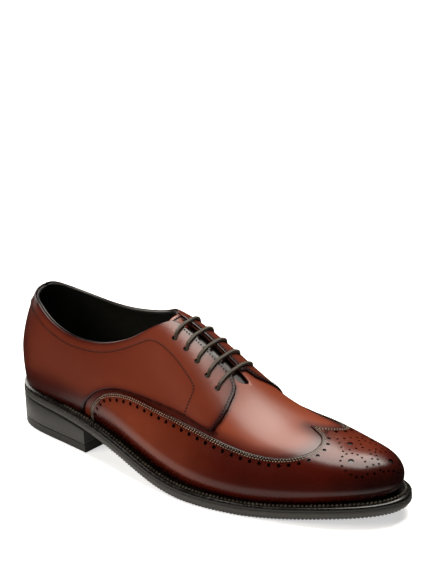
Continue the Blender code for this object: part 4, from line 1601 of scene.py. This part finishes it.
class DERBY_OT_stitches(bpy.types.Operator):
    """Sew every seam: wing, quarters, eyestays, tongue and welt"""

    bl_idname = "derby.stitches"
    bl_label = "Stitches"

    # Steps as shares of the stitch pitch. Length and thickness as shares of the pitch and the thread.
    wing_pitch = 1.1
    quarter_pitch = 1.25
    fine_thread = (0.682, 0.9)
    full_thread = (0.744, 1.4)
    proud = 0.05

    # The welt's row: its first angle, its place on the shelf and above it, and its stitches' length.
    welt_from = 0.9
    welt_edge_inset = 0.6
    shelf_share = 0.42
    welt_proud = 0.15
    welt_stitch = 0.8

    def execute(self, context):
        size = sizes()
        wing_pitch, quarter_pitch, pitch = [
            share * size.stitch_pitch / MM for share in (self.wing_pitch, self.quarter_pitch, 1.0)
        ]
        pale = self.thread("wing_thread", colours().thread, (0.6, 1.0))
        dark = self.thread("quarter_thread", colours().dark_thread, (0.6, 1.0))
        wing_rows = [
            spread(inside_edge(wing_line(side), inset, side), wing_pitch)
            for side in (-1, 1) for inset in WING_ROW_INSETS
        ]
        quarter_rows = [spread(eyestay_line(side), quarter_pitch) for side in (-1, 1)]
        for side in (-1, 1):
            row = inside_edge(facing_line(side), FACING_ROW_INSET, side)
            quarter_rows.append(spread(row, quarter_pitch))
        levels = np.linspace(-TONGUE_ROW_LEVEL, TONGUE_ROW_LEVEL, 21)
        tongue_row = chart_line(np.full(21, TONGUE_X[0] + TONGUE_ROW_INSET), levels, 1)
        for name, rows, depth, skin, slot, shape in (
            ("wing_stitches", wing_rows, self.proud, pale, "wing_cap", self.fine_thread),
            ("quarter_stitches", quarter_rows, self.proud, dark, "quarter_lateral", self.full_thread),
            ("tongue_stitches", [spread(tongue_row, pitch)], TONGUE_OUT + TONGUE_LIFT, dark, "tongue",
             self.full_thread),
        ):
            piece = rows_cloud(name, rows, depth)
            run_tree(piece, stitch_tree(), {
                "Length": shape[0] * size.stitch_pitch,
                "Thickness": shape[1] * size.thread,
                "Material": skin,
            })
            hand_over(piece)
        self.sew_welt(size)
        return {"FINISHED"}

    def thread(self, name, tone, shares):
        return plain_finish(name, tone, shares, 0.6, grain_scale=4000.0)

    def sew_welt(self, size):
        """One row of long stitches on the welt's shelf, from the heel's breast round the toe."""
        skin = self.thread("welt_thread", colours().thread, (0.12, 0.3))
        outer = np.linspace(self.welt_from, np.pi, 400)
        angles = np.concatenate([outer, outer[-2::-1]])
        side = np.r_[-np.ones(400, int), np.ones(399, int)]
        edge = sole_edge(angles, side, self.welt_edge_inset)
        shelf = on_last(station_of(angles), FEATHER_LEVEL * side)[:, :2]
        plan = edge + (shelf - edge) * self.shelf_share
        length = run_length(plan)
        plan = resample(plan, length, np.arange(0, length[-1], size.welt_pitch / MM))
        points = raised(plan, bottom(plan[:, 0]) + SOLE_STACK - GAP + self.welt_proud)
        along = unit(np.gradient(points, axis=0))
        up = np.tile((0.0, 0.0, 1.0), (len(points), 1))
        out = unit(up - along * (along * up).sum(1, keepdims=True))
        piece = point_cloud("welt_stitches", points, along, out, 1.0)
        run_tree(piece, stitch_tree(), {
            "Length": self.welt_stitch * size.welt_pitch, "Thickness": size.welt_thread, "Material": skin})
        hand_over(piece)


class DERBY_OT_stage(bpy.types.Operator):
    """Set the pale floor, the soft boxes and the camera"""

    bl_idname = "derby.stage"
    bl_label = "Stage"

    # Name, place, aim, width, depth, power and whether leather mirrors it, in metres and watts.
    soft_boxes = (
        ("overhead", (-0.16, 0.95, 2.25), (-0.16, 0.95, 0.0), 1.7, 2.3, 108.0, True),
        ("left_wall", (-2.4, 0.5, 0.9), (0.0, 0.0, 0.05), 1.6, 1.6, 34.0, True),
        ("front_fill", (-0.9, -2.3, 1.6), (0.0, 0.0, 0.05), 2.4, 1.6, 62.0, False),
    )
    lamp_colour = (1.0, 0.95, 0.88)
    floor_reach = 6.0

    # Half axes of the floor that leather mirrors as white, and the share of them where it starts to fade.
    pale_floor = (0.2, 0.085)
    pale_until = 0.78

    def execute(self, context):
        scene = context.scene
        scene.view_settings.view_transform = "Standard"
        self.add_floor(scene)
        for name, place, aim, wide, deep, power, mirrored in self.soft_boxes:
            lamp = bpy.data.lights.new(name, "AREA")
            lamp.shape = "RECTANGLE"
            lamp.size = wide
            lamp.size_y = deep
            lamp.energy = power
            lamp.color = self.lamp_colour
            box = bpy.data.objects.new(name, lamp)
            box.location = place
            box.rotation_euler = (Vector(aim) - Vector(place)).to_track_quat("-Z", "Y").to_euler()
            box.visible_glossy = mirrored
            scene.collection.objects.link(box)
        world = bpy.data.worlds.new("studio")
        world.use_nodes = True
        fill(world.node_tree, world.node_tree.nodes["Background"], {
            "Color": (1.0, 0.98, 0.95, 1.0), "Strength": 0.03,
        })
        scene.world = world
        self.add_camera(scene)
        return {"FINISHED"}

    def add_floor(self, scene):
        mesh = bpy.data.meshes.new("floor")
        reach = self.floor_reach
        corners = [(-reach, -reach, 0.0), (reach, -reach, 0.0), (reach, reach, 0.0), (-reach, reach, 0.0)]
        mesh.from_pydata(corners, [], [(0, 1, 2, 3)])
        mesh.materials.append(self.floor_paper())
        floor = bpy.data.objects.new("floor", mesh)
        scene.collection.objects.link(floor)

    def floor_paper(self):
        """White paper that glows a little, and that polished leather mirrors only close to the shoe."""
        skin, tree, shader, place = start_material("floor_paper")
        path = add_node(tree, "ShaderNodeLightPath").outputs
        fill(tree, shader, {
            "Base Color": (0.86, 0.86, 0.86, 1.0),
            "Roughness": 0.9,
            "Specular IOR Level": 0.0,
            "Emission Color": (1.0, 1.0, 1.0, 1.0),
            "Emission Strength": math_node(tree, "MULTIPLY", path["Is Camera Ray"], 0.55),
        })
        axes = (1 / self.pale_floor[0], 1 / self.pale_floor[1], 0.0)
        stretch = add_node(tree, "ShaderNodeVectorMath", {0: place, 1: axes}, operation="MULTIPLY")
        reach = add_node(tree, "ShaderNodeVectorMath", {0: stretch.outputs[0]}, operation="LENGTH")
        away = ramp(tree, reach.outputs["Value"], self.pale_until, 1.0)
        grey = mix_colours(tree, away, (0.7, 0.7, 0.7), (0.012, 0.012, 0.012))
        dim = add_node(tree, "ShaderNodeBsdfDiffuse", {"Color": grey})
        pick = add_node(tree, "ShaderNodeMixShader", {
            0: path["Is Glossy Ray"], 1: shader.outputs[0], 2: dim.outputs[0],
        })
        feed(tree, tree.nodes["Material Output"].inputs["Surface"], pick.outputs[0])
        return skin

    def add_camera(self, scene):
        turn, tilt, roll = np.radians((CAMERA_TURN, CAMERA_TILT, CAMERA_ROLL))
        back = np.array((np.sin(turn) * np.cos(tilt), -np.cos(turn) * np.cos(tilt), np.sin(tilt)))
        right = np.array((np.cos(turn), np.sin(turn), 0.0))
        up = np.cross(back, right)
        right, up = np.cos(roll) * right + np.sin(roll) * up, np.cos(roll) * up - np.sin(roll) * right
        place = np.array(CAMERA_TARGET) + back * CAMERA_DISTANCE
        away = back - right * CAMERA_AIM[0] - up * CAMERA_AIM[1]
        away /= np.linalg.norm(away)
        right = np.cross(up, away)
        right /= np.linalg.norm(right)
        up = np.cross(away, right)
        lens = bpy.data.cameras.new("camera")
        lens.lens = CAMERA_LENS
        lens.sensor_width = 36.0
        lens.clip_end = 50.0
        camera = bpy.data.objects.new("camera", lens)
        turned = Matrix((right, up, away)).transposed().to_4x4()
        camera.matrix_world = Matrix.Translation(place) @ turned
        scene.collection.objects.link(camera)
        scene.camera = camera


OPERATORS = (
    DERBY_OT_stage, DERBY_OT_upper, DERBY_OT_wing, DERBY_OT_quarters, DERBY_OT_tongue, DERBY_OT_lace,
    DERBY_OT_sole, DERBY_OT_heel, DERBY_OT_insole, DERBY_OT_stitches,
)


class DERBY_PT_panel(bpy.types.Panel):
    """Lists the shoe's pieces, sizes and colours"""

    bl_idname = "DERBY_PT_panel"
    bl_label = "Wing-tip derby"
    bl_space_type = "VIEW_3D"
    bl_region_type = "UI"
    bl_category = "Derby"

    def draw(self, context):
        for group in (context.scene.derby_sizes, context.scene.derby_colours):
            box = self.layout.box()
            for name in group.__annotations__:
                box.prop(group, name)
        for operator in OPERATORS:
            self.layout.operator(operator.bl_idname)


CLASSES = (DerbySizes, DerbyColours, *OPERATORS, DERBY_PT_panel)


def register():
    for group in CLASSES:
        bpy.utils.register_class(group)
    bpy.types.Scene.derby_sizes = PointerProperty(type=DerbySizes)
    bpy.types.Scene.derby_colours = PointerProperty(type=DerbyColours)


def unregister():
    del bpy.types.Scene.derby_colours
    del bpy.types.Scene.derby_sizes
    for group in reversed(CLASSES):
        bpy.utils.unregister_class(group)


def main():
    register()
    for operator in OPERATORS:
        family, name = operator.bl_idname.split(".")
        getattr(getattr(bpy.ops, family), name)()


if __name__ == "__main__":
    main()
